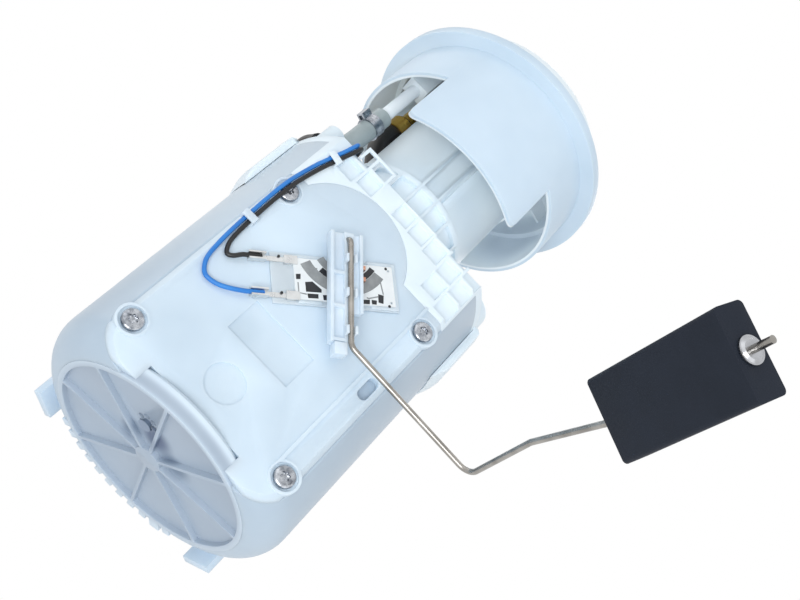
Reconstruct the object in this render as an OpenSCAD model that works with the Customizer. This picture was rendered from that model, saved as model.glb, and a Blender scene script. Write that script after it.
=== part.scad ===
// In-tank fuel delivery unit: a swirl pot with an electric pump inside, a
// lattice-ribbed neck, a round tank flange and a lever-type level sender.
// The pot's foot lies on z = 0, its axis is Z, and its flat front faces -Y.

/* [Pot] */
// Outer radius of the swirl pot
pot_r = 53.3; // [50:0.1:60]
// Height of the pot's wall
pot_h = 127; // [122:0.5:140]
// Wall thickness of the pot
pot_wall = 2.4; // [1.8:0.1:3]
// Rounding between the pot's side and its foot
foot_r = 13; // [10:0.5:14]
// Distance of the flat front from the axis
front_y = 37.4; // [36:0.1:40]
// How far the shoulder's rear collar stands out of the pot's side
collar_out = 3.2; // [2.4:0.1:5]
// Height of the rear collar
collar_h = 33; // [20:1:40]
// Width of the two lugs beside the foot
lug_w = 12.6; // [8:0.1:16]
// Thickness of the lugs
lug_t = 3.2; // [2.4:0.1:4]
// Height of the lugs
lug_h = 17.5; // [16:0.5:26]

/* [Front cover] */
// Thickness of the screwed front cover
cover_t = 3.2; // [2.6:0.1:4]
// Height of the lower pair of screws
screw_z = 14.7; // [13.5:0.1:20]
// Radius of the screw heads
head_r = 4; // [3:0.1:4.4]
// Radius of the screw shanks
shank_r = 1.6; // [1.2:0.1:2]
// Length of the screw shanks
shank_l = 13; // [9:0.5:16]
// Height of the beads on the cover
bead_h = 0.9; // [0.5:0.1:1.5]
// Radius of the arch over the sender
arch_r = 27; // [24:0.5:29]

/* [Base plate] */
// Radius of the base plate
base_r = 42.5; // [40:0.1:43.5]
// Height of the base plate's wall
base_h = 8; // [6:0.5:9.5]
// Thickness of its disc
disc_t = 2; // [1.5:0.1:2.4]
// Depth of the spokes under the disc
spoke_d = 2.2; // [1.5:0.1:2.6]
// Number of spokes
spokes = 8; // [5:1:12]
// Number of small rim teeth
rim_teeth = 11; // [5:1:15]

/* [Shoulder and neck] */
// Thickness of the shoulder plate that closes the pot
shoulder_t = 4.5; // [3.6:0.1:6]
// Outer radius of the neck
neck_r = 28.3; // [25:0.1:30]
// Wall thickness of the neck
neck_wall = 2; // [1.6:0.1:2.6]
// Length of the neck above the shoulder
neck_h = 74.5; // [66:0.5:84]
// Height of the ribs on the neck
rib_h = 2; // [1.2:0.1:2.6]
// Thickness of the lattice ribs
rib_t = 1.3; // [0.8:0.1:1.6]
// Pitch of the lattice across the pot
cell_x = 9; // [8:0.1:11]
// Pitch of the lattice along the pot
cell_z = 10; // [9:0.1:12]
// Depth of the lattice pockets
cell_depth = 2.5; // [1:0.1:2.6]

/* [Flange] */
// Radius of the flange's sealing rim
rim_r = 57.3; // [54:0.1:64]
// Thickness of the rim
rim_t = 4.5; // [3:0.1:6]
// Outer radius of the skirt that enters the tank
skirt_r = 50.6; // [48.4:0.1:52]
// Length of the skirt under the rim
skirt_h = 24.8; // [20:0.1:30]
// Wall thickness of skirt and dome
skirt_wall = 2.2; // [1.8:0.1:3]
// Gap between the shoulder and the skirt
skirt_gap = 58.9; // [50:0.5:64]
// Radius of the raised middle of the flange
dome_r = 48.4; // [46:0.1:50]
// Height of the raised middle above the rim
dome_h = 15.9; // [12:0.1:20]
// Length of the front apron under the skirt
apron_h = 30; // [20:0.5:34]
// Width of the front apron
apron_w = 62; // [40:1:76]

/* [Connector] */
// Width of the plug socket
socket_w = 27; // [25:0.5:32]
// Depth of the plug socket
socket_d = 14; // [12:0.5:18]
// Height of the plug socket
socket_h = 13; // [10:0.5:16]
// Spacing of the contact blades
pin_pitch = 5; // [4:0.1:6]

/* [Hoses and pipes] */
// Outer radius of the feed hose
feed_hose_r = 5.6; // [5.2:0.1:6]
// Outer radius of the return hose
return_hose_r = 4.5; // [4.2:0.1:4.8]
// Outer radius of the feed pipe
feed_pipe_r = 4; // [3.6:0.1:4.2]
// Outer radius of the return pipe
return_pipe_r = 3; // [2.6:0.1:3.2]

/* [Level sender] */
// Place of the lever's pivot across the pot
pivot_x = -7.3; // [-9:0.1:-6]
// Height of the lever's pivot
pivot_z = 93.8; // [88:0.1:95]
// Radius of the float wire
wire_r = 1.1; // [0.9:0.05:1.4]
// Length of the wire along the lever carrier
arm_a = 42; // [38:0.1:46]
// Length of the wire's level stretch
arm_b = 60; // [50:0.5:70]
// Reach of the wire in front of the pot up to its jog
arm_c = 40; // [34:0.5:48]
// Length of the lever carrier
carrier_l = 43; // [40:0.5:46]
// Width of the lever carrier
carrier_w = 12.4; // [9:0.1:13]
// Length of the resistor card
card_l = 39; // [34:0.5:42]
// Width of the resistor card
card_w = 16; // [14:0.1:17]
// Thickness of the resistor card
card_t = 0.8; // [0.6:0.1:1.2]

/* [Float] */
// Width of the float
float_w = 26; // [22:0.5:30]
// Thickness of the float
float_t = 10.8; // [9:0.1:13]
// Length of the float along its wire
float_l = 54.2; // [45:0.5:62]

/* [Pump] */
// Outer radius of the pump case
pump_r = 19; // [18:0.1:20]
// Length of the pump case
pump_l = 88; // [80:0.5:92]
// Wall thickness of the pump case
case_t = 1; // [0.8:0.1:1.2]
// Radius of the pump shaft
shaft_r = 2; // [1.6:0.1:2.4]
// Radius of the armature
armature_r = 11.5; // [10:0.1:12]
// Number of impeller vanes
vanes = 24; // [12:1:30]

/* [Hidden] */
$fn = 64;

white = [0.86, 0.91, 0.96];
milky = [0.72, 0.78, 0.83];
steel = [0.62, 0.63, 0.65];
brass = [0.78, 0.62, 0.28];
copper = [0.75, 0.45, 0.32];
black = [0.07, 0.07, 0.08];
slate = [0.15, 0.165, 0.21];
carbon = [0.2, 0.2, 0.21];

eps = 0.01;
lap = 0.16;
over = 1;
slip = 0.2;
snug = 0.05;
running = 0.05;
apart = 0.4;

// Levels along the axis
shoulder_z = pot_h;
neck_z = pot_h + shoulder_t;
skirt_z = neck_z + skirt_gap;
rim_z = skirt_z + skirt_h;
dome_z = rim_z + rim_t + dome_h;
dome_t = 2.5;
under_z = dome_z - dome_t;
neck_top = neck_z + neck_h;

// Planes across the front, all as distances from the axis
seat_y = front_y - cover_t;
wall_y = seat_y - pot_wall;

// Base plate and the ledge that it seats on
bore_r = base_r + snug;
ledge_z = base_h + slip;
ledge_t = 2;
ledge_in = base_r - 3.5;
hub_r = 5.5;
disc_z = spoke_d;
lug_angles = [43.7, 139];
lug_in = pot_r + 0.7;
lug_root = 4.2;
tooth_out = 3.2;
wide_out = 4.8;
tooth_w = 3.2;
tooth_h = 2.6;
tooth_from = 58;
tooth_to = 134;
valve_x = -0.2 * base_r;
valve_y = -0.42 * base_r;
valve_stem_r = 1.6;
valve_head_r = 6;

// Cover
screw_dx = 1.332 * pot_r;
screw_dz = 0.63 * pot_h;
cover_half = 0.75 * pot_r;
cover_low = 1.2;
cover_top = screw_z + screw_dz + 8.5;
window_half = screw_dx / 2 - 7;
window_low = screw_z + 6;
window_high = screw_z + screw_dz - 12;
recess_r = 7.5;
recess_z = 22.8;
recess_d = 0.8;
panel_low = 38;
panel_high = 53.5;
panel_from = -13.4;
panel_to = 14.9;
bead_x = 30.6;
slot_x = 35.4;
slot_z = 60.9;
slot_r = 2.2;
slot_l = 6;
cbore_r = head_r + 1;
cbore_d = 0.6;
head_t = 1.8;
boss_r = shank_r + 2.4;
screw_places = [for (sx = [-1, 1]) for (k = [0, 1]) [sx * screw_dx / 2, screw_z + k * screw_dz]];

// Lattice
col_x0 = -4.7;
neck_row = neck_z + 19.2;
neck_band = 3.2;
row_sag = 220;
slab_low = cover_top + slip;
lattice_reach = arch_r + 1.5;

// Flange details
collar_in = neck_r + slip;
collar_wall = 2.2;
collar_z = neck_top - 8;
long_rib_top = collar_z - apart;
wire_gap_from = 150;
wire_gap_to = 216;
apron_x = 1.5;
return_x = -38.5;
return_y = -6;
feed_x = -31;
feed_y = 8;
return_low = neck_z + 34.5;
feed_low = neck_z + 54;
pipe_bore = 1;
nipple_rise = 8;
nipple_run = 30;
side_run = 20;
side_dir = [-0.8, 0.6, 0];
socket_x = 10;
socket_y = -6;
socket_wall = 1.8;
pins = 4;
pin_w = 2.6;
pin_t = 0.8;
pin_rise = socket_h - 6;
pin_drop = 5;
ear_x = 0.816 * pot_r;
ear_y = -8;
ear_r = 9.5;
ear_h = 12;

// Pump, on its own axis
pump_x = 0;
pump_y = 5;
pump_z = ledge_z + ledge_t + 5;
case_in = pump_r - case_t;
inlet_t = 5;
plate_t = 5;
impeller_t = 3;
impeller_r = case_in - 3;
side_gap = 0.3;
impeller_z = pump_z + inlet_t + side_gap;
plate_z = impeller_z + impeller_t + side_gap;
motor_z = plate_z + plate_t;
cap_z = pump_z + pump_l - 12;
arm_z = motor_z + 6;
arm_l = cap_z - arm_z - 14;
comm_z = arm_z + arm_l + 3;
comm_l = 7;
comm_r = 6;
bush_r = shaft_r + 2.4;
bush_l = 4;
shaft_low = pump_z + 2;
shaft_top = cap_z + bush_l;
magnet_in = armature_r + 0.8;
magnet_angle = 130;
cap_top = pump_z + pump_l + 4;
outlet_r = 4;
outlet_bore = 2.8;
outlet_z = cap_top + 17;
valve_r = 2.4;
valve_seat_z = cap_top + 1;
valve_travel = 2;
valve_l = 4;
valve_stop_z = outlet_z - 2;
cradle_in = pump_r + 1.6;
cradle_wall = 2;
cradle_z = ledge_z + ledge_t;
cradle_h = 50;
cradle_arms = 3;
ring_h = 6;
strainer_r = 15;
strainer_t = 5;
strainer_z = disc_z + disc_t + 0.4;
inlet_r = 5;
inlet_bore = 3;

// Sender, in planes parallel to the front
bracket_t = 0.8;
bracket_y = front_y + bracket_t;
card_y = bracket_y + card_t;
pivot_boss_r = 3.3;
pivot_boss_y = bracket_y + 2.8;
carrier_back = pivot_boss_y + 0.4;
carrier_t = 4;
carrier_y = carrier_back + carrier_t;
arm_y = carrier_y + wire_r + 0.1;
card_angle = 46.6;
card_off = 14.2;
card_slide = 0.2;
lever_angle = -48.8;
bracket_l = card_l + 10;
bracket_w = card_w + 3.6;
terminal_off = 6.9;
crimp_out = 17;
crimp_l = 6.4;
crimp_h = 2.7;
strip_t = 0.5;

// Wire path of the lever, from the pivot to the tip
wire_bend = 5;
hook_bend = 2;
jog_x = 4.6;
jog_y = 37.4;
jog_z = -2.8;
arm_drop = -1.6;
tip_out = 8;
lever_dir = [cos(lever_angle), 0, sin(lever_angle)];
pivot_p = [pivot_x, -arm_y, pivot_z];
bend_1 = pivot_p + arm_a * lever_dir;
bend_2 = bend_1 + [arm_b, 0, arm_drop];
jog_1 = bend_2 + [0, -arm_c, 0];
jog_2 = jog_1 + [jog_x, -jog_y, jog_z];
float_near = jog_2.y - 6;
tip_p = [jog_2.x, float_near - float_l - tip_out, jog_2.z];
float_tilt = -25;
float_bore = wire_r + running;
float_edge = 1.6;
nut_r = 4;
nut_t = 1;

// Sockets, plugs and hose ends
port_x = -0.807 * pot_r;
port_y = -0.394 * pot_r;
port_z = neck_z + return_hose_r + 0.4;
port_r = 4.4;
port_l = 7;
port_dir = unit([port_y, -port_x, 0]);
port_p = [port_x, port_y, port_z];
jet_r = 2.4;
jet_top = shoulder_z - 4.6;

// Routes of the hoses and wires, as places on their centre lines
lead_r = 0.85;
power_r = 1.2;
feed_route = [[pump_x, pump_y, cap_top + 4], [pump_x, pump_y, outlet_z + 3],
    [pump_x - 1, pump_y, outlet_z + 12], [pump_x - 6, pump_y + 1, outlet_z + 24],
    [-16, 7, outlet_z + 36], [feed_x + 5, feed_y, outlet_z + 47],
    [feed_x, feed_y, feed_low - 5], [feed_x, feed_y, feed_low + 4],
    [feed_x, feed_y, feed_low + 12]];
return_route = [[return_x, return_y, return_low + 14], [return_x, return_y, return_low],
    [return_x - 0.4, return_y + 0.8, neck_z + 25], [-40.6, -1.2, neck_z + 16],
    [-43.6, 3.4, neck_z + 9], [-47, 4.2, port_z + 1.2], [-49.4, -1.5, port_z + 0.2],
    port_p + (port_r + port_l + 1) * port_dir, port_p + (port_r + port_l / 2) * port_dir,
    port_p + (port_r + 0.5) * port_dir];
lead_y = front_y + 1.2;
crimp_y = bracket_y + strip_t + lead_r + snug;
left = -screw_dx / 2;
low_crimp = card_place(-card_l / 2 - crimp_out, -terminal_off);
high_crimp = card_place(-card_l / 2 - crimp_out, terminal_off);
crimp_dir = [cos(card_angle), sin(card_angle)];
function card_place(u, v) = [pivot_x, pivot_z] + (u - card_slide) * [cos(card_angle), sin(card_angle)]
    + (v - card_off) * [-sin(card_angle), cos(card_angle)];
function at_crimp(p, u) = [p.x + u * crimp_dir.x, -crimp_y, p.y + u * crimp_dir.y];
blue_route = [at_crimp(low_crimp, 5), at_crimp(low_crimp, 2.5), at_crimp(low_crimp, 0),
    at_crimp(low_crimp, -2), [-22.4, -lead_y - 0.6, 48.2], [-26.4, -lead_y, 46],
    [-30.6, -lead_y, 45], [-33.4, -lead_y, 46.4], [left - 0.3, -lead_y, 50.4],
    [left - 1.5, -lead_y, 57], [left - 2.3, -lead_y, 0.52 * pot_h], [left - 2.7, -lead_y, 0.6 * pot_h],
    [left - 2.9, -lead_y - 0.6, 0.677 * pot_h], [left - 2.7, -lead_y - 1.4, 0.746 * pot_h],
    [left - 2.1, -lead_y - 0.6, 0.811 * pot_h], [left - 0.9, -lead_y, 0.882 * pot_h],
    [left + 0.7, -lead_y, 0.941 * pot_h], [left + 2.1, -lead_y, 0.992 * pot_h],
    [left + 2.9, -lead_y - 0.2, neck_z - 1.5], [left + 3.2, -lead_y + 0.5, neck_z + 1.4],
    [left + 3.3, -lead_y + 3.1, neck_z + 2.2],
    [-32.2, -30, neck_z + 2], [-32.6, -16, neck_z + 1.8], [-31, -7, neck_z + 3],
    [-25, -7, neck_z + 6], [-19, -12, neck_z + 14], [-16, -15, neck_z + 30],
    [-16, -15, neck_z + 62], [-9, -11, under_z - 12], [socket_x - 1.5 * pin_pitch, socket_y, under_z - 6]];
black_route = [at_crimp(high_crimp, 5), at_crimp(high_crimp, 2.5), at_crimp(high_crimp, 0),
    at_crimp(high_crimp, -2), [-30.4, -lead_y - 0.4, 58], [-32.2, -lead_y, 57],
    [left + 1.8, -lead_y, 58.4], [left + 0.4, -lead_y, 62],
    [left - 0.3, -lead_y, 0.52 * pot_h + 2], [left - 0.7, -lead_y, 0.6 * pot_h],
    [left - 0.9, -lead_y - 0.6, 0.677 * pot_h], [left - 0.7, -lead_y - 1.4, 0.746 * pot_h],
    [left - 0.1, -lead_y - 0.6, 0.811 * pot_h], [left + 1.1, -lead_y, 0.882 * pot_h],
    [left + 2.6, -lead_y, 0.941 * pot_h], [left + 4, -lead_y, 0.992 * pot_h],
    [left + 4.9, -lead_y - 0.2, neck_z - 1.5], [left + 5.2, -lead_y + 0.5, neck_z + 1.4],
    [left + 5.3, -lead_y + 3.1, neck_z + 2.2],
    [-30.2, -30, neck_z + 2], [-30.6, -17, neck_z + 1.8], [-29.5, -9.5, neck_z + 3],
    [-24, -9.4, neck_z + 6], [-17.4, -13.8, neck_z + 14], [-13.8, -16.5, neck_z + 30],
    [-13.8, -16.5, neck_z + 62], [-5, -12, under_z - 12], [socket_x - 0.5 * pin_pitch, socket_y, under_z - 6]];
red_route = [[socket_x + 0.5 * pin_pitch, socket_y, under_z - 6], [11, -9, under_z - 16],
    [10, -16, neck_top - 6], [10, -17, neck_z + 40], [10, -15, neck_z + 12],
    [9, -9, pot_h - 6], [8, -3, cap_top + 6], [8, pump_y - 7, cap_top + 2.5]];
brown_route = [[socket_x + 1.5 * pin_pitch, socket_y, under_z - 6], [16, -8, under_z - 16],
    [14, -14, neck_top - 6], [14, -14, neck_z + 40], [14, -12, neck_z + 12],
    [13, -5, pot_h - 6], [12, 2, cap_top + 6], [11, pump_y + 1, cap_top + 2.5]];
lead_sides = 8;
hose_sides = 12;

function unit(v) = v / norm(v);
function flat_of(v, t) = unit(v - (v * t) * t);

// Points on a smooth curve through the places of a route
function curve_at(p, i, u) =
    let (n = len(p), a = p[max(i - 1, 0)], b = p[i], c = p[i + 1], d = p[min(i + 2, n - 1)])
    0.5 * (2 * b + u * (c - a) + u * u * (2 * a - 5 * b + 4 * c - d)
        + u * u * u * (3 * b - a - 3 * c + d));
function smooth(p, steps) = concat(
    [for (i = [0 : len(p) - 2]) for (k = [0 : steps - 1]) curve_at(p, i, k / steps)],
    [p[len(p) - 1]]);
function tangent_at(q, i) = unit(q[min(i + 1, len(q) - 1)] - q[max(i - 1, 0)]);
function side_vectors(q) = [for (i = 0, s = flat_of([0.31, 0.9, 0.17], tangent_at(q, 0));
    i < len(q);
    i = i + 1, s = i < len(q) ? flat_of(s, tangent_at(q, i)) : s) s];
function ring_points(q, s, i, r, sides) = [for (k = [0 : sides - 1])
    let (w = cross(tangent_at(q, i), s[i]), a = 360 * k / sides)
    q[i] + r * (cos(a) * s[i] + sin(a) * w)];
function wall_faces(rings, sides, from, turn) = [for (i = [0 : rings - 2]) for (k = [0 : sides - 1])
    let (a = from + i * sides + k, b = from + i * sides + (k + 1) % sides)
    turn ? [a, a + sides, b + sides, b] : [a, b, b + sides, a + sides]];

// Solid cord along a list of points
module cord(q, r, sides) {
    s = side_vectors(q);
    n = len(q);
    pts = [for (i = [0 : n - 1]) each ring_points(q, s, i, r, sides)];
    low_end = [[for (k = [0 : sides - 1]) k]];
    high_end = [[for (k = [sides - 1 : -1 : 0]) (n - 1) * sides + k]];
    polyhedron(pts, concat(low_end, wall_faces(n, sides, 0, true), high_end), convexity = 8);
}

// Hollow hose along a list of points
module hose(q, r_out, r_in, sides) {
    s = side_vectors(q);
    n = len(q);
    m = n * sides;
    outer = [for (i = [0 : n - 1]) each ring_points(q, s, i, r_out, sides)];
    inner = [for (i = [0 : n - 1]) each ring_points(q, s, i, r_in, sides)];
    low_end = [for (k = [0 : sides - 1]) let (j = (k + 1) % sides) [k, j, m + j, m + k]];
    high_end = [for (k = [0 : sides - 1]) let (j = (k + 1) % sides, e = (n - 1) * sides)
        [e + j, e + k, m + e + k, m + e + j]];
    polyhedron(concat(outer, inner),
        concat(wall_faces(n, sides, 0, true), wall_faces(n, sides, m, false), low_end, high_end),
        convexity = 8);
}

// Round rod through corner points, with a true arc at each corner
module rod(p, r, bends) {
    n = len(p);
    dirs = [for (i = [0 : n - 2]) unit(p[i + 1] - p[i])];
    turn = [for (i = [0 : n - 1]) i == 0 || i == n - 1 ? 0 : acos(dirs[i - 1] * dirs[i])];
    cut = [for (i = [0 : n - 1]) bends[i] * tan(turn[i] / 2)];
    for (i = [0 : n - 2]) {
        low = bends[i] > 0 ? cut[i] - lap : 0;
        high = bends[i + 1] > 0 ? cut[i + 1] - lap : 0;
        aim(p[i] + low * dirs[i], dirs[i]) cylinder(r = r, h = norm(p[i + 1] - p[i]) - low - high);
    }
    for (i = [1 : n - 2]) if (bends[i] > 0) {
        u = dirs[i - 1];
        axis = unit(cross(u, dirs[i]));
        centre = p[i] + unit(dirs[i] - u) * bends[i] / cos(turn[i] / 2);
        e = unit(p[i] - cut[i] * u - centre);
        multmatrix([[e.x, u.x, axis.x, centre.x], [e.y, u.y, axis.y, centre.y],
            [e.z, u.z, axis.z, centre.z], [0, 0, 0, 1]])
            rotate_extrude(angle = turn[i]) translate([bends[i], 0]) circle(r = r - lap / 8);
    }
}

// Puts a child's Z along a direction
module aim(place, d) {
    translate(place) rotate([0, acos(d.z), atan2(d.y, d.x)]) children();
}

// Turns a plan drawn in X and Z so that its depth runs from the axis outwards, towards -Y
module on_front(y_from, depth) {
    translate([0, -y_from, 0]) rotate([90, 0, 0]) linear_extrude(depth) children();
}

module front_cyl(x, z, r, y_from, depth) {
    translate([x, -y_from, z]) rotate([90, 0, 0]) cylinder(r = r, h = depth);
}

// Everything behind a plane at distance d in front of the axis
module behind(d, high) {
    translate([-2 * pot_r, -d, -over]) cube([4 * pot_r, d + 2 * pot_r, high + 2 * over]);
}

module tube(r_out, r_in, z_from, z_to) {
    translate([0, 0, z_from]) difference() {
        cylinder(r = r_out, h = z_to - z_from);
        translate([0, 0, -over]) cylinder(r = r_in, h = z_to - z_from + 2 * over);
    }
}

module tube_part(r_out, r_in, z_from, z_to, from, to) {
    rotate([0, 0, from]) rotate_extrude(angle = to - from)
        translate([r_in, z_from]) square([r_out - r_in, z_to - z_from]);
}

module foot_profile(r, foot, top) {
    translate([0, foot]) square([r, top - foot]);
    square([r - foot, top]);
    translate([r - foot, foot]) circle(r = foot);
}

// Upright lugs that hang from the pot's side down to the level of its foot
module side_lugs() {
    for (a = lug_angles) rotate([0, 0, a]) {
        translate([lug_in, -lug_w / 2, 0]) cube([lug_t, lug_w, lug_h]);
        translate([pot_r - pot_wall / 2, -lug_w / 2, lug_h - lug_root])
            cube([lug_in - pot_r + pot_wall / 2 + eps, lug_w, lug_root]);
    }
}

module tooth_ring(grow) {
    step = (tooth_to - tooth_from) / (rim_teeth - 1);
    for (i = [0 : rim_teeth - 1]) rotate([0, 0, tooth_from + i * step])
        translate([base_r - 1, -tooth_w / 2 - grow, -grow])
            cube([1 + tooth_out + grow, tooth_w + 2 * grow, tooth_h + 2 * grow]);
    rotate([0, 0, tooth_from + step]) translate([base_r - 1, -0.7 * tooth_w - grow, -grow])
        cube([1 + wide_out + grow, 1.4 * tooth_w + 2 * grow, tooth_h + 2 * grow]);
}

module screw_boss(p) {
    front_cyl(p.x, p.y, boss_r, wall_y - shank_l, shank_l + eps);
}

module swirl_pot() {
    color(white) difference() {
        union() {
            difference() {
                intersection() {
                    rotate_extrude() foot_profile(pot_r, foot_r, pot_h);
                    behind(seat_y, pot_h);
                }
                intersection() {
                    translate([0, 0, pot_wall])
                        rotate_extrude() foot_profile(pot_r - pot_wall, foot_r - pot_wall, pot_h);
                    behind(wall_y, pot_h + over);
                }
            }
            intersection() {
                tube(pot_r - pot_wall + eps, ledge_in, ledge_z, ledge_z + ledge_t);
                behind(wall_y + eps, pot_h);
            }
            for (p = screw_places) screw_boss(p);
            side_lugs();
        }
        translate([0, 0, -over]) cylinder(r = bore_r, h = ledge_z + over);
        tooth_ring(snug);
        translate([-window_half, -seat_y - over, window_low])
            cube([2 * window_half, pot_wall + 2 * over, window_high - window_low]);
        for (p = screw_places) front_cyl(p.x, p.y, shank_r + slip / 2, wall_y - shank_l + 2, shank_l + pot_wall);
    }
}

module cover_plan(grow) {
    translate([-cover_half - grow, cover_low - grow])
        square([2 * (cover_half + grow), cover_top - cover_low + 2 * grow]);
    translate([pivot_x, pivot_z]) circle(r = arch_r + grow);
}

module cover_bead(x, low, high) {
    translate([x - rib_t / 2, low]) square([rib_t, high - low]);
}

module wire_clip(x, z, tilt) {
    clip_w = 4 * lead_r + 2.2;
    clip_l = 3;
    clip_h = 2 * lead_r + 1.3;
    translate([x, -front_y, z]) rotate([0, tilt, 0]) difference() {
        translate([-clip_w / 2, -clip_h, -clip_l / 2]) cube([clip_w, clip_h, clip_l]);
        translate([-clip_w / 2 + 0.9, -clip_h + 0.7, -clip_l / 2 - over])
            cube([clip_w - 1.8, 2 * lead_r + 0.6 + eps, clip_l + 2 * over]);
    }
}

module front_cover() {
    color(white) difference() {
        union() {
            intersection() {
                union() {
                    on_front(seat_y, cover_t) cover_plan(0);
                    on_front(front_y - eps, bead_h + eps) cover_bead(bead_x, foot_r, cover_top);
                }
                rotate_extrude() foot_profile(pot_r, foot_r, pot_h);
                behind(front_y + bead_h, pot_h);
            }
            for (p = screw_places) front_cyl(p.x, p.y, cbore_r + 1, seat_y, cover_t + bead_h / 2);
            wire_clip(left - 1.65, screw_z + 59, -2);
        }
        translate([0, 0, -over]) cylinder(r = bore_r, h = ledge_z + over);
        tooth_ring(snug);
        for (p = screw_places) {
            front_cyl(p.x, p.y, shank_r + slip, seat_y - over, cover_t + bead_h + 2 * over);
            front_cyl(p.x, p.y, cbore_r, front_y - cbore_d, cbore_d + bead_h + over);
        }
        front_cyl(0, recess_z, recess_r, front_y - recess_d, recess_d + over);
        on_front(front_y - recess_d, recess_d + over)
            translate([panel_from, panel_low]) square([panel_to - panel_from, panel_high - panel_low]);
        on_front(seat_y - over, cover_t + 2 * over) union() {
            translate([slot_x, slot_z - slot_l / 2]) circle(r = slot_r);
            translate([slot_x, slot_z + slot_l / 2]) circle(r = slot_r);
            translate([slot_x - slot_r, slot_z - slot_l / 2]) square([2 * slot_r, slot_l]);
        }
    }
}

module cover_screws() {
    color(steel) for (p = screw_places) difference() {
        union() {
            front_cyl(p.x, p.y, shank_r, front_y - cbore_d - shank_l, shank_l + eps);
            front_cyl(p.x, p.y, head_r, front_y - cbore_d, head_t - 0.5);
            translate([p.x, -front_y + cbore_d - head_t + 0.5, p.y]) rotate([90, 0, 0])
                cylinder(r1 = head_r, r2 = head_r - 1, h = 0.5);
        }
        for (a = [45, 135]) translate([p.x, -front_y + cbore_d - head_t, p.y]) rotate([0, a, 0])
            cube([head_r, 1.8, 0.9], center = true);
    }
}

module base_plate() {
    color(milky) difference() {
        union() {
            rotate_extrude() polygon([[0, disc_z], [base_r, disc_z], [base_r, base_h - 1.5],
                [base_r - 1.5, base_h], [base_r - 2.2, base_h], [base_r - 2.2, disc_z + disc_t],
                [0, disc_z + disc_t]]);
            tube(base_r, base_r - 2.2, 0, disc_z + eps);
            cylinder(r = hub_r, h = disc_z + eps);
            for (i = [0 : spokes - 1]) rotate([0, 0, i * 360 / spokes - 9])
                translate([hub_r - 1, -rib_t / 2, 0]) cube([base_r - hub_r - 1, rib_t, disc_z + eps]);
            tooth_ring(0);
        }
        translate([valve_x, valve_y, -over]) cylinder(r = valve_stem_r + snug, h = disc_z + disc_t + 2 * over);
        for (i = [0 : 5]) translate([valve_x, valve_y, -over]) rotate([0, 0, 60 * i])
            translate([valve_head_r - 3, 0, 0]) cylinder(r = 1.3, h = disc_z + disc_t + 2 * over);
    }
}

module foot_valve() {
    color(black) translate([valve_x, valve_y, 0]) rotate_extrude()
        polygon([[0, disc_z - 1.8], [valve_stem_r + 1, disc_z - 1.8], [valve_stem_r, disc_z - 0.1],
            [valve_stem_r, disc_z + disc_t + 0.1], [valve_head_r, disc_z + disc_t + 0.1],
            [valve_head_r, disc_z + disc_t + 0.6], [valve_stem_r + 1, disc_z + disc_t + 1.8],
            [0, disc_z + disc_t + 1.8]]);
}

// Pockets of the shoulder's lattice that lie clear of the sender's arch
module slab_pockets() {
    for (i = [-3 : 4]) for (k = [-1 : 1]) {
        x = col_x0 + (i + 0.5) * cell_x;
        z = neck_z - (k + 0.5) * cell_z - x * x / row_sag;
        clear = norm([x - pivot_x, z - pivot_z]) > lattice_reach + cell_x / 2;
        if (clear && abs(x) < 36) translate([x - (cell_x - rib_t) / 2, z - (cell_z - rib_t) / 2])
            square([cell_x - rib_t, cell_z - rib_t]);
    }
}

module neck_ribs() {
    intersection() {
        union() {
            for (i = [-2 : 3]) {
                x = col_x0 + i * cell_x;
                top = i == 0 || i == 1 ? long_rib_top : neck_row;
                if (abs(x) < neck_r) translate([x - rib_t / 2, -neck_r - rib_h - over, neck_z - over])
                    cube([rib_t, neck_r + rib_h, top - neck_z + over]);
            }
            tube_part(neck_r + rib_h + over, neck_r - 0.5, neck_row - neck_band, neck_row, 185, 355);
            tube_part(neck_r + rib_h - 0.6, neck_r - 0.5, neck_row - 0.6, long_rib_top, 282, 350);
        }
        translate([0, 0, neck_z - over]) cylinder(r = neck_r + rib_h, h = neck_h);
    }
}

module return_port() {
    aim(port_p, port_dir) cylinder(r = return_pipe_r, h = port_r + port_l);
    translate([port_x, port_y, neck_z - over]) cylinder(r = port_r, h = 2 * return_hose_r + 2 + over);
    translate([port_x, port_y, jet_top]) cylinder(r = jet_r, h = shoulder_z - jet_top + over);
}

// Low web that stands on the shoulder's edge beside the wires
module corner_web() {
    from = -0.77 * front_y;
    top = neck_z + 0.6 * cell_z;
    on_front(front_y - rib_t, rib_t) {
        translate([from, top - rib_t]) square([col_x0 - cell_x - from, rib_t]);
        for (x = [from, col_x0 - 2 * cell_x - rib_t / 2, col_x0 - cell_x - rib_t])
            translate([x, neck_z - over]) square([rib_t, top - neck_z + over]);
    }
}

// Plate over the pot with the slab that reaches down its front to the cover
module shoulder_body() {
    difference() {
        intersection() {
            cylinder(r = pot_r, h = neck_z);
            union() {
                translate([-2 * pot_r, -front_y, shoulder_z])
                    cube([4 * pot_r, 2 * pot_r + front_y, shoulder_t]);
                on_front(seat_y, cover_t) difference() {
                    translate([-2 * pot_r, slab_low]) square([4 * pot_r, neck_z - slab_low]);
                    cover_plan(slip);
                }
            }
        }
        on_front(front_y - cell_depth, cell_depth + over) slab_pockets();
    }
    intersection() {
        tube(pot_r - pot_wall - slip, pot_r - pot_wall - slip - 1.8, shoulder_z - 4, shoulder_z + over);
        behind(wall_y - slip, neck_z);
    }
}

module rear_collar() {
    out = pot_r + collar_out;
    low = neck_z - collar_h;
    rotate([0, 0, -16]) rotate_extrude(angle = 212) polygon([[pot_r + slip, low],
        [pot_r + 2 * slip, low], [out, low + 8], [out, neck_z - 1.6], [out - 1.6, neck_z],
        [pot_r - over, neck_z], [pot_r - over, neck_z - 2], [pot_r + slip, neck_z - 2]]);
}

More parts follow.
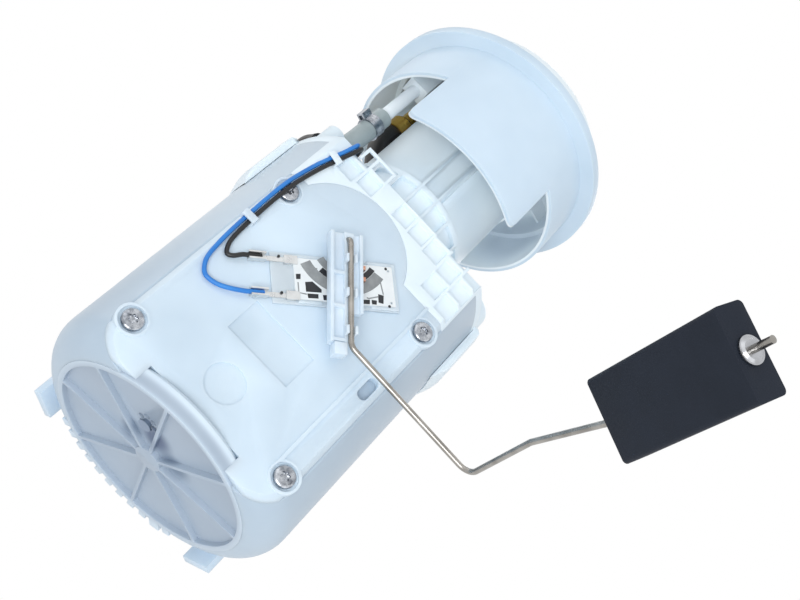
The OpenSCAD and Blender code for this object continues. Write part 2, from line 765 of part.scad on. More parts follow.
module shoulder_neck() {
    color(white) difference() {
        union() {
            shoulder_body();
            rear_collar();
            tube(neck_r, neck_r - neck_wall, neck_z - over, neck_top);
            neck_ribs();
            translate([ear_x, ear_y, neck_z - over]) rotate_extrude() foot_top(ear_r, 4, ear_h + over);
            return_port();
            corner_web();
            wire_clip(left + 1.65, 0.941 * pot_h, 12);
        }
        translate([0, 0, shoulder_z - over]) cylinder(r = neck_r - neck_wall, h = shoulder_t + neck_h + 2 * over);
        translate([port_x, port_y, jet_top - over]) cylinder(r = jet_r - pipe_bore, h = port_z - jet_top + over);
        aim(port_p, port_dir) cylinder(r = return_pipe_r - pipe_bore, h = port_r + port_l + over);
        translate([-neck_r - rib_h - over, -12, neck_z + 0.4]) cube([9, 9, 7]);
        translate([-neck_r - rib_h - over, feed_y - 9, neck_z + 30]) cube([14, 18, neck_h]);
        translate([ear_x, ear_y, shoulder_z - over]) cylinder(r = ear_r - neck_wall, h = shoulder_t + ear_h - 1);
    }
}

// Revolved outline of a closed, round-topped boss
module foot_top(r, edge, h) {
    square([r, h - edge]);
    square([r - edge, h]);
    translate([r - edge, h - edge]) circle(r = edge);
}

function pipe_path(x, y, low, more) = [[x, y, low - more], [x, y, dome_z + nipple_rise],
    [x, y + nipple_run + more, dome_z + nipple_rise]];

// The return nipple turns aside, so that a hose slides on past the feed pipe
function side_path(x, y, low, more) = [[x, y, low - more], [x, y, dome_z + nipple_rise],
    [x, y, dome_z + nipple_rise] + (side_run + more) * side_dir];

module flange_shell() {
    rotate_extrude() difference() {
        union() {
            translate([0, skirt_z]) square([skirt_r, skirt_h + eps]);
            translate([0, rim_z]) square([rim_r, rim_t]);
            translate([0, rim_z]) foot_top(dome_r, 5, dome_z - rim_z);
        }
        translate([0, skirt_z - over]) square([skirt_r - skirt_wall, skirt_h + over]);
        translate([0, rim_z - over]) foot_top(dome_r - skirt_wall, 4, under_z - rim_z + over);
    }
}

module apron() {
    corner = 4;
    low = skirt_z - apron_h;
    intersection() {
        tube(skirt_r, skirt_r - skirt_wall, low, skirt_z + over);
        on_front(skirt_r / 4, skirt_r) translate([apron_x - apron_w / 2, low]) union() {
            translate([corner, 0]) square([apron_w - 2 * corner, apron_h + 2 * over]);
            translate([0, corner]) square([apron_w, apron_h + 2 * over - corner]);
            for (x = [corner, apron_w - corner]) translate([x, corner]) circle(r = corner);
        }
    }
}

module flange() {
    color(white) difference() {
        union() {
            flange_shell();
            apron();
            tube_part(collar_in + collar_wall, collar_in, collar_z, under_z + eps, wire_gap_to - 360, wire_gap_from);
            for (a = [20 : 40 : 140]) rotate([0, 0, a])
                translate([collar_in + 1, -rib_t / 2, under_z - 9]) cube([dome_r - collar_in - 2, rib_t, 9 + eps]);
            for (a = [-130 : 40 : -10]) rotate([0, 0, a])
                translate([collar_in + 1, -rib_t / 2, under_z - 9]) cube([dome_r - collar_in - 2, rib_t, 9 + eps]);
            rod(side_path(return_x, return_y, return_low, 0), return_pipe_r, [0, return_pipe_r + 2.5, 0]);
            translate([return_x, return_y, dome_z - over]) cylinder(r = return_pipe_r + 1.6, h = over + 2);
            translate([return_x - 5, return_y - 5, skirt_z + 14]) cube([10, 9.5, under_z - skirt_z - 13]);
            translate([feed_x, feed_y, under_z - 6]) cylinder(r = feed_pipe_r + 2, h = dome_t + 8);
            translate([socket_x, socket_y, dome_z - over]) socket_block(socket_w, socket_d, socket_h + over);
        }
        rod(side_path(return_x, return_y, return_low, over), return_pipe_r - pipe_bore, [0, return_pipe_r + 2.5, 0]);
        translate([feed_x, feed_y, under_z - 6 - over]) cylinder(r = feed_pipe_r + snug, h = dome_t + 12);
        translate([socket_x, socket_y, dome_z])
            socket_block(socket_w - 2 * socket_wall, socket_d - 2 * socket_wall, socket_h + over);
        for (i = [0 : pins - 1]) translate([socket_x + (i - (pins - 1) / 2) * pin_pitch, socket_y, under_z - over])
            translate([-pin_t / 2 - snug, -pin_w / 2 - snug, 0])
                cube([pin_t + 2 * snug, pin_w + 2 * snug, dome_t + 2 * over]);
    }
}

module socket_block(w, d, h) {
    corner = 2.5;
    translate([-w / 2 + corner, -d / 2, 0]) cube([w - 2 * corner, d, h]);
    translate([-w / 2, -d / 2 + corner, 0]) cube([w, d - 2 * corner, h]);
    for (sx = [-1, 1]) for (sy = [-1, 1])
        translate([sx * (w / 2 - corner), sy * (d / 2 - corner), 0]) cylinder(r = corner, h = h);
}

module contact_blades() {
    color(steel) for (i = [0 : pins - 1])
        translate([socket_x + (i - (pins - 1) / 2) * pin_pitch - pin_t / 2, socket_y - pin_w / 2, under_z - pin_drop])
            cube([pin_t, pin_w, pin_drop + dome_t + pin_rise]);
}

module feed_pipe() {
    color(brass) difference() {
        union() {
            rod(pipe_path(feed_x, feed_y, feed_low, 0), feed_pipe_r, [0, feed_pipe_r + 2.5, 0]);
            translate([feed_x, feed_y, dome_z + 2]) cylinder(r = feed_pipe_r + 1.5, h = 1.5);
        }
        rod(pipe_path(feed_x, feed_y, feed_low, over), feed_pipe_r - pipe_bore, [0, feed_pipe_r + 2.5, 0]);
    }
}

module feed_hose() {
    color(black) hose(smooth(feed_route, 3), feed_hose_r, (max(feed_pipe_r, outlet_r) + snug) / cos(180 / hose_sides),
        hose_sides);
}

module return_hose() {
    color(black) hose(smooth(return_route, 3), return_hose_r, (return_pipe_r + snug) / cos(180 / hose_sides),
        hose_sides);
}

module ear_clamp(r) {
    h = 5;
    difference() {
        union() {
            cylinder(r = r + 0.8, h = h);
            translate([-1.8, -r - 3.2, 0]) cube([3.6, 3.2, h]);
        }
        translate([0, 0, -over]) cylinder(r = r + snug, h = h + 2 * over);
        translate([-1, -r - 2.4, -over]) cube([2, 2, h + 2 * over]);
    }
}

module ear_clamps() {
    color(steel) {
        translate([return_x, return_y, return_low + 3]) rotate([0, 0, -65]) ear_clamp(return_hose_r);
        translate([pump_x, pump_y, cap_top + 8]) rotate([0, 0, 150]) ear_clamp(feed_hose_r);
    }
}

module feed_ferrule() {
    color(brass) translate([feed_x, feed_y, 0])
        tube(feed_hose_r + 0.7, feed_hose_r + snug, feed_low + 4, feed_low + 11);
}

module jet_tube() {
    low = ledge_z + ledge_t;
    color(white) translate([port_x, port_y, 0]) difference() {
        translate([0, 0, low]) cylinder(r = jet_r, h = jet_top - low);
        translate([0, 0, low + 4]) cylinder(r = jet_r - pipe_bore, h = jet_top);
        translate([0, 0, low - over]) cylinder(r = 0.6, h = 8);
    }
}

// Draws a plan in the card's own directions, about the card's centre
module card_plan() {
    translate([pivot_x, pivot_z]) rotate(card_angle) translate([-card_slide, -card_off]) children();
}

module sender_bracket() {
    color(milky) difference() {
        union() {
            on_front(front_y, bracket_t) card_plan()
                translate([-bracket_l + card_l / 2 + 1.5, -bracket_w / 2]) square([bracket_l, bracket_w]);
            front_cyl(pivot_x, pivot_z, pivot_boss_r + 1.2, front_y, bracket_t);
            front_cyl(pivot_x, pivot_z, pivot_boss_r, front_y, pivot_boss_y - front_y);
            on_front(bracket_y - eps, card_t + eps) card_plan() difference() {
                translate([-card_l / 2 - 1.2, -card_w / 2 - 1.2]) square([card_l + 2.4, card_w + 2.4]);
                translate([-card_l / 2 - snug, -card_w / 2 - snug]) square([card_l + 2 * snug, card_w + 2 * snug]);
                translate([-card_l / 4, -card_w]) square([card_l / 2, 2 * card_w]);
                translate([-card_l / 2 - 2, -card_w]) square([3, 2 * card_w]);
            }
        }
        front_cyl(pivot_x, pivot_z, wire_r + running, front_y - over, 10);
    }
}

module resistor_card() {
    color([0.93, 0.93, 0.92]) on_front(bracket_y, card_t) card_plan() difference() {
        translate([-card_l / 2, -card_w / 2]) square([card_l, card_w]);
        for (s = [-1, 1]) translate([card_l / 2 - 1.6, s * (card_w / 2 - 1.6)]) circle(r = 0.5);
    }
}

module card_terminals() {
    end = -card_l / 2 - crimp_out;
    color(steel) for (s = [-1, 1]) {
        on_front(bracket_y, strip_t) card_plan()
            translate([end + 0.5, s * terminal_off - 0.9]) square([crimp_out - 0.5 - snug, 1.8]);
        on_front(bracket_y, card_t + 0.5) card_plan()
            translate([-card_l / 2 - 3.6, s * terminal_off - 1.6]) square([3.6 - snug, 3.2]);
        on_front(bracket_y + card_t + snug, 0.5) card_plan()
            translate([-card_l / 2 - 3.6, s * terminal_off - 1.6]) square([5, 3.2]);
        on_front(bracket_y, crimp_h) card_plan() for (t = [-1, 1])
            translate([end, s * terminal_off + t * (lead_r + 0.35) - 0.3]) square([crimp_l, 0.6]);
        on_front(bracket_y, strip_t) card_plan()
            translate([end, s * terminal_off - lead_r - 0.5]) square([crimp_l, 2 * lead_r + 1]);
    }
}

// Draws a plan along the lever carrier, from the pivot outwards
module lever_plan() {
    translate([pivot_x, pivot_z]) rotate(lever_angle) children();
}

module lever_carrier() {
    lead_in = 2.8;
    low = -carrier_w / 2 - 0.8;
    high = carrier_w / 2 - 0.8;
    wide_l = 0.72 * carrier_l;
    far = carrier_l - lead_in;
    color(white) difference() {
        union() {
            on_front(carrier_back, carrier_t - 1.4) lever_plan() {
                translate([-lead_in, low]) square([wide_l, carrier_w]);
                translate([-lead_in, low]) square([carrier_l, 1.8 - low]);
            }
            on_front(carrier_back, carrier_t) lever_plan() {
                translate([-lead_in, low]) square([carrier_l, 1.2]);
                translate([-lead_in, high - 1.2]) square([wide_l, 1.2]);
                translate([-lead_in, -1.8]) square([carrier_l, 3.6]);
                for (k = [0.3, 0.6, 0.9]) translate([k * carrier_l, low]) square([1.2, -low]);
            }
            for (k = [0.2, 0.52, 0.86]) on_front(carrier_y - eps, 2 * wire_r + 0.6) lever_plan()
                for (s = [-1, 1]) translate([k * arm_a - 1.5, s * (wire_r + 0.55) - 0.45]) square([3, 0.9]);
            on_front(carrier_back, carrier_t - 1.4) lever_plan()
                translate([far - eps, low + 1.6]) square([0.5, 3]);
            on_front(carrier_back, carrier_t + 0.6) lever_plan()
                translate([far + 0.4, low + 1.3]) square([4.4, 4.6]);
        }
        front_cyl(pivot_x, pivot_z, wire_r + snug, carrier_back - over, carrier_t + 2 * over);
    }
}

module float_wire() {
    hook = [pivot_x, -front_y - 0.6, pivot_z];
    color(steel) rod([hook, pivot_p, bend_1, bend_2, jog_1, jog_2, tip_p],
        wire_r, [0, hook_bend, wire_bend, wire_bend, wire_bend, wire_bend, 0]);
}

module wiper_contacts() {
    color(copper) for (s = [0, 1]) on_front(card_y + 0.35, carrier_back - card_y - 0.35) lever_plan()
        translate([7.2 + s * 4.5, carrier_w / 2 - 4]) square([1.6, 6]);
}

module level_float() {
    half_w = float_w / 2;
    half_t = float_t / 2;
    color(slate) translate([tip_p.x, float_near, tip_p.z]) rotate([0, -float_tilt, 0]) difference() {
        union() {
            rotate([90, 0, 0]) linear_extrude(float_l) union() {
                translate([-half_w + float_edge, -half_t]) square([float_w - 2 * float_edge, float_t]);
                translate([-half_w, -half_t + float_edge]) square([float_w, float_t - 2 * float_edge]);
                for (sx = [-1, 1]) for (sz = [-1, 1])
                    translate([sx * (half_w - float_edge), sz * (half_t - float_edge)]) circle(r = float_edge);
            }
        }
        rotate([90, 0, 0]) translate([0, 0, -over]) cylinder(r = float_bore, h = float_l + 2 * over);
    }
}

module push_nut() {
    color(steel) translate([tip_p.x, float_near - float_l - 0.35, tip_p.z]) rotate([90, 0, 0]) difference() {
        union() {
            cylinder(r1 = nut_r, r2 = nut_r - 1.2, h = nut_t);
            cylinder(r = nut_r, h = 0.4);
        }
        translate([0, 0, -over]) cylinder(r = wire_r + snug / 5, h = nut_t + 2 * over);
    }
}

module blue_wire() {
    color([0.16, 0.47, 0.75]) cord(smooth(blue_route, 2), lead_r, lead_sides);
}

module black_wire() {
    color(black) cord(smooth(black_route, 2), lead_r, lead_sides);
}

module pump_lead_red() {
    color([0.7, 0.1, 0.1]) cord(smooth(red_route, 2), power_r, lead_sides);
}

module pump_lead_brown() {
    color([0.35, 0.2, 0.12]) cord(smooth(brown_route, 2), power_r, lead_sides);
}

module at_pump() {
    translate([pump_x, pump_y, 0]) children();
}

module pump_cradle() {
    reach = pot_r - pot_wall - abs(pump_y) - 4;
    color(milky) at_pump() difference() {
        union() {
            tube(cradle_in + cradle_wall, cradle_in, cradle_z, cradle_z + cradle_h);
            tube(cradle_in + cradle_wall, inlet_r + 2, cradle_z, cradle_z + 3);
            for (i = [0 : cradle_arms - 1]) rotate([0, 0, 90 + i * 360 / cradle_arms]) {
                translate([cradle_in + 1, -4, cradle_z]) cube([ledge_in + 2 - cradle_in, 8, 3]);
                translate([cradle_in + 1, -1, cradle_z]) cube([ledge_in - cradle_in, 2, cradle_h / 2]);
            }
        }
        translate([0, 0, cradle_z - over]) cylinder(r = inlet_r + 1, h = 5);
    }
}

module rubber_rings() {
    color(black) at_pump() for (k = [0, 1])
        tube(cradle_in - snug, pump_r + snug, cradle_z + 8 + k * (cradle_h - ring_h - 12),
            cradle_z + 8 + ring_h + k * (cradle_h - ring_h - 12));
}

module inlet_strainer() {
    color([0.25, 0.27, 0.3]) at_pump() difference() {
        translate([0, 0, strainer_z]) rotate_extrude() foot_top(strainer_r, 2, strainer_t);
        translate([0, 0, strainer_z + 1.5]) cylinder(r = inlet_r + snug, h = strainer_t);
    }
}

module pump_case() {
    color(steel) at_pump() union() {
        tube(pump_r, case_in, pump_z, pump_z + pump_l);
        tube(case_in + eps, case_in - 1, pump_z - case_t, pump_z);
        tube(pump_r, case_in - 0.5, pump_z - case_t, pump_z + eps);
    }
}

module inlet_cap() {
    color([0.8, 0.8, 0.76]) at_pump() difference() {
        union() {
            translate([0, 0, pump_z]) cylinder(r = case_in - snug, h = inlet_t);
            translate([0, 0, strainer_z + 1.6]) cylinder(r = inlet_r, h = pump_z - strainer_z - 1.6 + eps);
        }
        translate([0, 0, pump_z + 1.5]) cylinder(r = shaft_r + 0.5, h = inlet_t);
        translate([0, 0, strainer_z]) cylinder(r = inlet_bore, h = pump_z - strainer_z + 1);
        translate([0, 0, pump_z + inlet_t - 1.5]) tube(impeller_r - 0.5, impeller_r - 4, 0, 3);
        rotate([0, 0, 30]) translate([impeller_r - 2.2, 0, pump_z - over]) cylinder(r = 1.6, h = inlet_t + 2 * over);
    }
}

module impeller() {
    color([0.16, 0.16, 0.18]) at_pump() difference() {
        translate([0, 0, impeller_z]) cylinder(r = impeller_r, h = impeller_t);
        translate([0, 0, impeller_z - over]) cylinder(r = shaft_r + 0.01, h = impeller_t + 2 * over);
        for (i = [0 : vanes - 1]) rotate([0, 0, i * 360 / vanes])
            translate([impeller_r - 2.6, -0.9, impeller_z - over]) cube([3, 1.8, impeller_t + 2 * over]);
    }
}

module channel_plate() {
    color([0.8, 0.8, 0.76]) at_pump() difference() {
        translate([0, 0, plate_z]) cylinder(r = case_in - snug, h = plate_t);
        translate([0, 0, plate_z - over]) cylinder(r = bush_r + 0.02, h = plate_t + 2 * over);
        translate([0, 0, plate_z - 1.5]) tube(impeller_r - 0.5, impeller_r - 4, 0, 3);
        rotate([0, 0, 210]) translate([impeller_r - 2.2, 0, plate_z - over]) cylinder(r = 1.6, h = plate_t + 2 * over);
    }
}

module pump_shaft() {
    color(steel) at_pump() translate([0, 0, shaft_low]) cylinder(r = shaft_r, h = shaft_top - shaft_low);
}

module armature() {
    slots = 8;
    color([0.5, 0.33, 0.2]) at_pump() difference() {
        union() {
            translate([0, 0, arm_z]) cylinder(r = armature_r, h = arm_l);
            translate([0, 0, arm_z - 3]) cylinder(r = armature_r - 3, h = arm_l + 5.5);
        }
        translate([0, 0, arm_z - 5]) cylinder(r = shaft_r + 0.01, h = arm_l + 10);
        for (i = [0 : slots - 1]) rotate([0, 0, i * 360 / slots])
            translate([armature_r - 2.4, -0.8, arm_z - over]) cube([4, 1.6, arm_l + 2 * over]);
    }
}

module commutator() {
    bars = 8;
    color(copper) at_pump() difference() {
        translate([0, 0, comm_z]) cylinder(r = comm_r, h = comm_l);
        translate([0, 0, comm_z - over]) cylinder(r = shaft_r + 0.01, h = comm_l + 2 * over);
        for (i = [0 : bars - 1]) rotate([0, 0, i * 360 / bars])
            translate([comm_r - 1, -0.25, comm_z - over]) cube([2, 0.5, comm_l + 2 * over]);
    }
}

module field_magnets() {
    color(carbon) at_pump() for (s = [0, 180])
        tube_part(case_in - snug, magnet_in, arm_z - 3, arm_z + arm_l + 2.6, s - magnet_angle / 2, s + magnet_angle / 2);
}

module shaft_bushes() {
    color(brass) at_pump() {
        tube(bush_r, shaft_r + running, plate_z + 0.5, plate_z + plate_t);
        tube(bush_r, shaft_r + running, cap_z + 0.5, cap_z + 0.5 + bush_l);
    }
}

module outlet_cap() {
    brush_r = comm_r + 0.4;
    color([0.8, 0.8, 0.76]) at_pump() difference() {
        union() {
            translate([0, 0, cap_z]) cylinder(r = case_in - snug, h = pump_z + pump_l - cap_z);
            translate([0, 0, pump_z + pump_l - eps]) cylinder(r = case_in - 2, h = cap_top - pump_z - pump_l);
            translate([0, 0, cap_top - eps]) cylinder(r = outlet_r, h = outlet_z - cap_top);
            for (s = [-1, 1]) translate([s > 0 ? brush_r : -brush_r - 9, -3.4, comm_z + 0.3]) cube([9, 6.8, cap_z - comm_z + 0.2]);
        }
        translate([0, 0, valve_seat_z]) cylinder(r = outlet_bore, h = outlet_z);
        translate([0, 0, cap_z + bush_l + 2]) cylinder(r = 1.4, h = cap_top);
        rotate([0, 0, 90]) translate([9, 0, cap_z - over]) cylinder(r = 1.6, h = 9);
        translate([-1.4, 0, cap_z + 5.4]) cube([2.8, 10, 2.8]);
        translate([0, 0, cap_z - over]) cylinder(r = bush_r + 0.02, h = bush_l + 1.5);
        for (s = [-1, 1]) translate([s > 0 ? brush_r - over : -brush_r - 8.2, -2.2, comm_z + 1])
            cube([8.2 + over, 4.4, 4.4]);
        translate([8, -12, cap_top - 3]) cylinder(r = power_r + snug, h = 5);
        translate([11, -4, cap_top - 3]) cylinder(r = power_r + snug, h = 5);
    }
}

module carbon_brushes() {
    color(carbon) at_pump() for (s = [-1, 1])
        translate([s > 0 ? comm_r + 0.3 : -comm_r - 0.3 - 4.5, -2.05, comm_z + 1.15]) cube([4.5, 4.1, 4.1]);
}

// Round helical spring about Z
function helix(r, turns, length, steps) = [for (i = [0 : turns * steps])
    [r * cos(360 * i / steps), r * sin(360 * i / steps), length * i / (turns * steps)]];

module brush_springs() {
    gap = 8.2 - 4.5 - 0.2;
    color(steel) at_pump() for (s = [-1, 1])
        translate([s * (comm_r + 0.3 + 4.5 + 0.35), 0, comm_z + 3.2]) rotate([0, s * 90, 0])
            cord(helix(1.5, 3, gap - 0.5, 10), 0.22, 6);
}

module check_valve() {
    color(black) at_pump() translate([0, 0, valve_seat_z + 0.02]) {
        cylinder(r = valve_r, h = 2);
        translate([0, 0, 2 - eps]) cylinder(r = 1, h = valve_l - 2);
    }
}

module valve_spring() {
    low = valve_seat_z + 2.4;
    color(steel) at_pump() translate([0, 0, low]) cord(helix(1.8, 5, valve_stop_z - low, 10), 0.25, 6);
}

swirl_pot();
front_cover();
cover_screws();
base_plate();
foot_valve();
shoulder_neck();
flange();
contact_blades();
feed_pipe();
feed_hose();
return_hose();
ear_clamps();
feed_ferrule();
jet_tube();
sender_bracket();
resistor_card();
card_terminals();
lever_carrier();
float_wire();
wiper_contacts();
level_float();
push_nut();
blue_wire();
black_wire();
pump_lead_red();
pump_lead_brown();
pump_cradle();
rubber_rings();
inlet_strainer();
pump_case();
inlet_cap();
impeller();
channel_plate();
pump_shaft();
armature();
commutator();
field_magnets();
shaft_bushes();
outlet_cap();
carbon_brushes();
brush_springs();
check_valve();
valve_spring();
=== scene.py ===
import math

import bmesh
import bpy
from mathutils import Matrix, Vector


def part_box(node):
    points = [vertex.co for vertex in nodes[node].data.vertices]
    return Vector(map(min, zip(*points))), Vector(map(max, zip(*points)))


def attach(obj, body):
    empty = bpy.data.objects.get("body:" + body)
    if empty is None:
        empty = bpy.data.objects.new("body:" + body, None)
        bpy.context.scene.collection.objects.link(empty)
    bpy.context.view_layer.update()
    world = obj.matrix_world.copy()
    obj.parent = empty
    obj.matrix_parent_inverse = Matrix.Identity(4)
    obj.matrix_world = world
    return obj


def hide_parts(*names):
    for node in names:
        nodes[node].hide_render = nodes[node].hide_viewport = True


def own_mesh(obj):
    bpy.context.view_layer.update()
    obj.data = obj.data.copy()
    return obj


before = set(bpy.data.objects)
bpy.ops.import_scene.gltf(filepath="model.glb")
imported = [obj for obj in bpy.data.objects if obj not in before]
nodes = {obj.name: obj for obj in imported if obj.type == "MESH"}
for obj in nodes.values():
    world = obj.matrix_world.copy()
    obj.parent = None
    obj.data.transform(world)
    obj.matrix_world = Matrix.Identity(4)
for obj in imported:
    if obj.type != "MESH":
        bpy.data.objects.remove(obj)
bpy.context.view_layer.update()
scene = bpy.context.scene
rootBody = "pot_assembly"
mm = 0.001
print("frame loaded:", len(nodes), "nodes")


# Camera, solved for a frame 800 px wide. Places are in mm, the clip range in m

viewpoint = {
    "place": (7.9568, -377.5037, -146.6349),
    "right": (0.690127, -0.439438, 0.574995),
    "down": (0.722991, 0.383786, -0.574449),
    "ahead": (0.031759, 0.812159, 0.582571),
    "focalPixels": 1137.716,
    "pixelsWide": 800,
    "sensorWidth": 36,
    "clip": (0.01, 20),
}


def makeCamera(v):
    data = bpy.data.cameras.new("productCamera")
    camera = bpy.data.objects.new("productCamera", data)
    scene.collection.objects.link(camera)
    data.sensor_width = v["sensorWidth"]
    data.lens = v["sensorWidth"] * v["focalPixels"] / v["pixelsWide"]
    data.clip_start, data.clip_end = v["clip"]
    right, up, back = Vector(v["right"]), -Vector(v["down"]), -Vector(v["ahead"])
    turn = Matrix((right, up, back)).transposed()
    camera.matrix_world = Matrix.Translation(Vector(v["place"]) * mm) @ turn.to_4x4()
    scene.camera = camera
    return camera


makeCamera(viewpoint)
scene.view_settings.view_transform = "Standard"


# Node helpers


def addNode(tree, kind, place=(0, 0), **settings):
    node = tree.nodes.new(kind)
    node.location = place
    for key, value in settings.items():
        setattr(node, key, value)
    return node


def setInputs(node, **values):
    for key, value in values.items():
        node.inputs[key.replace("_", " ")].default_value = value
    return node


def joinNodes(tree, *pairs):
    for output, socket in pairs:
        tree.links.new(output, socket)


def linear(c):
    return c / 12.92 if c <= 0.04045 else ((c + 0.055) / 1.055) ** 2.4


def colour(red, green, blue):
    return (linear(red / 255), linear(green / 255), linear(blue / 255), 1)


# Finishes. Each reads Object coordinates. a and b are the tones that a noise mixes, patch and grain the scales
# of the noises, milk the weight of the light scattered inside and milkDepth its reach in mm. A blot lays another
# tone over the finish about a place, fading from core to the edge of its reach, both in mm. Most blots paint light
# and shade into the colour, as noted at each finish

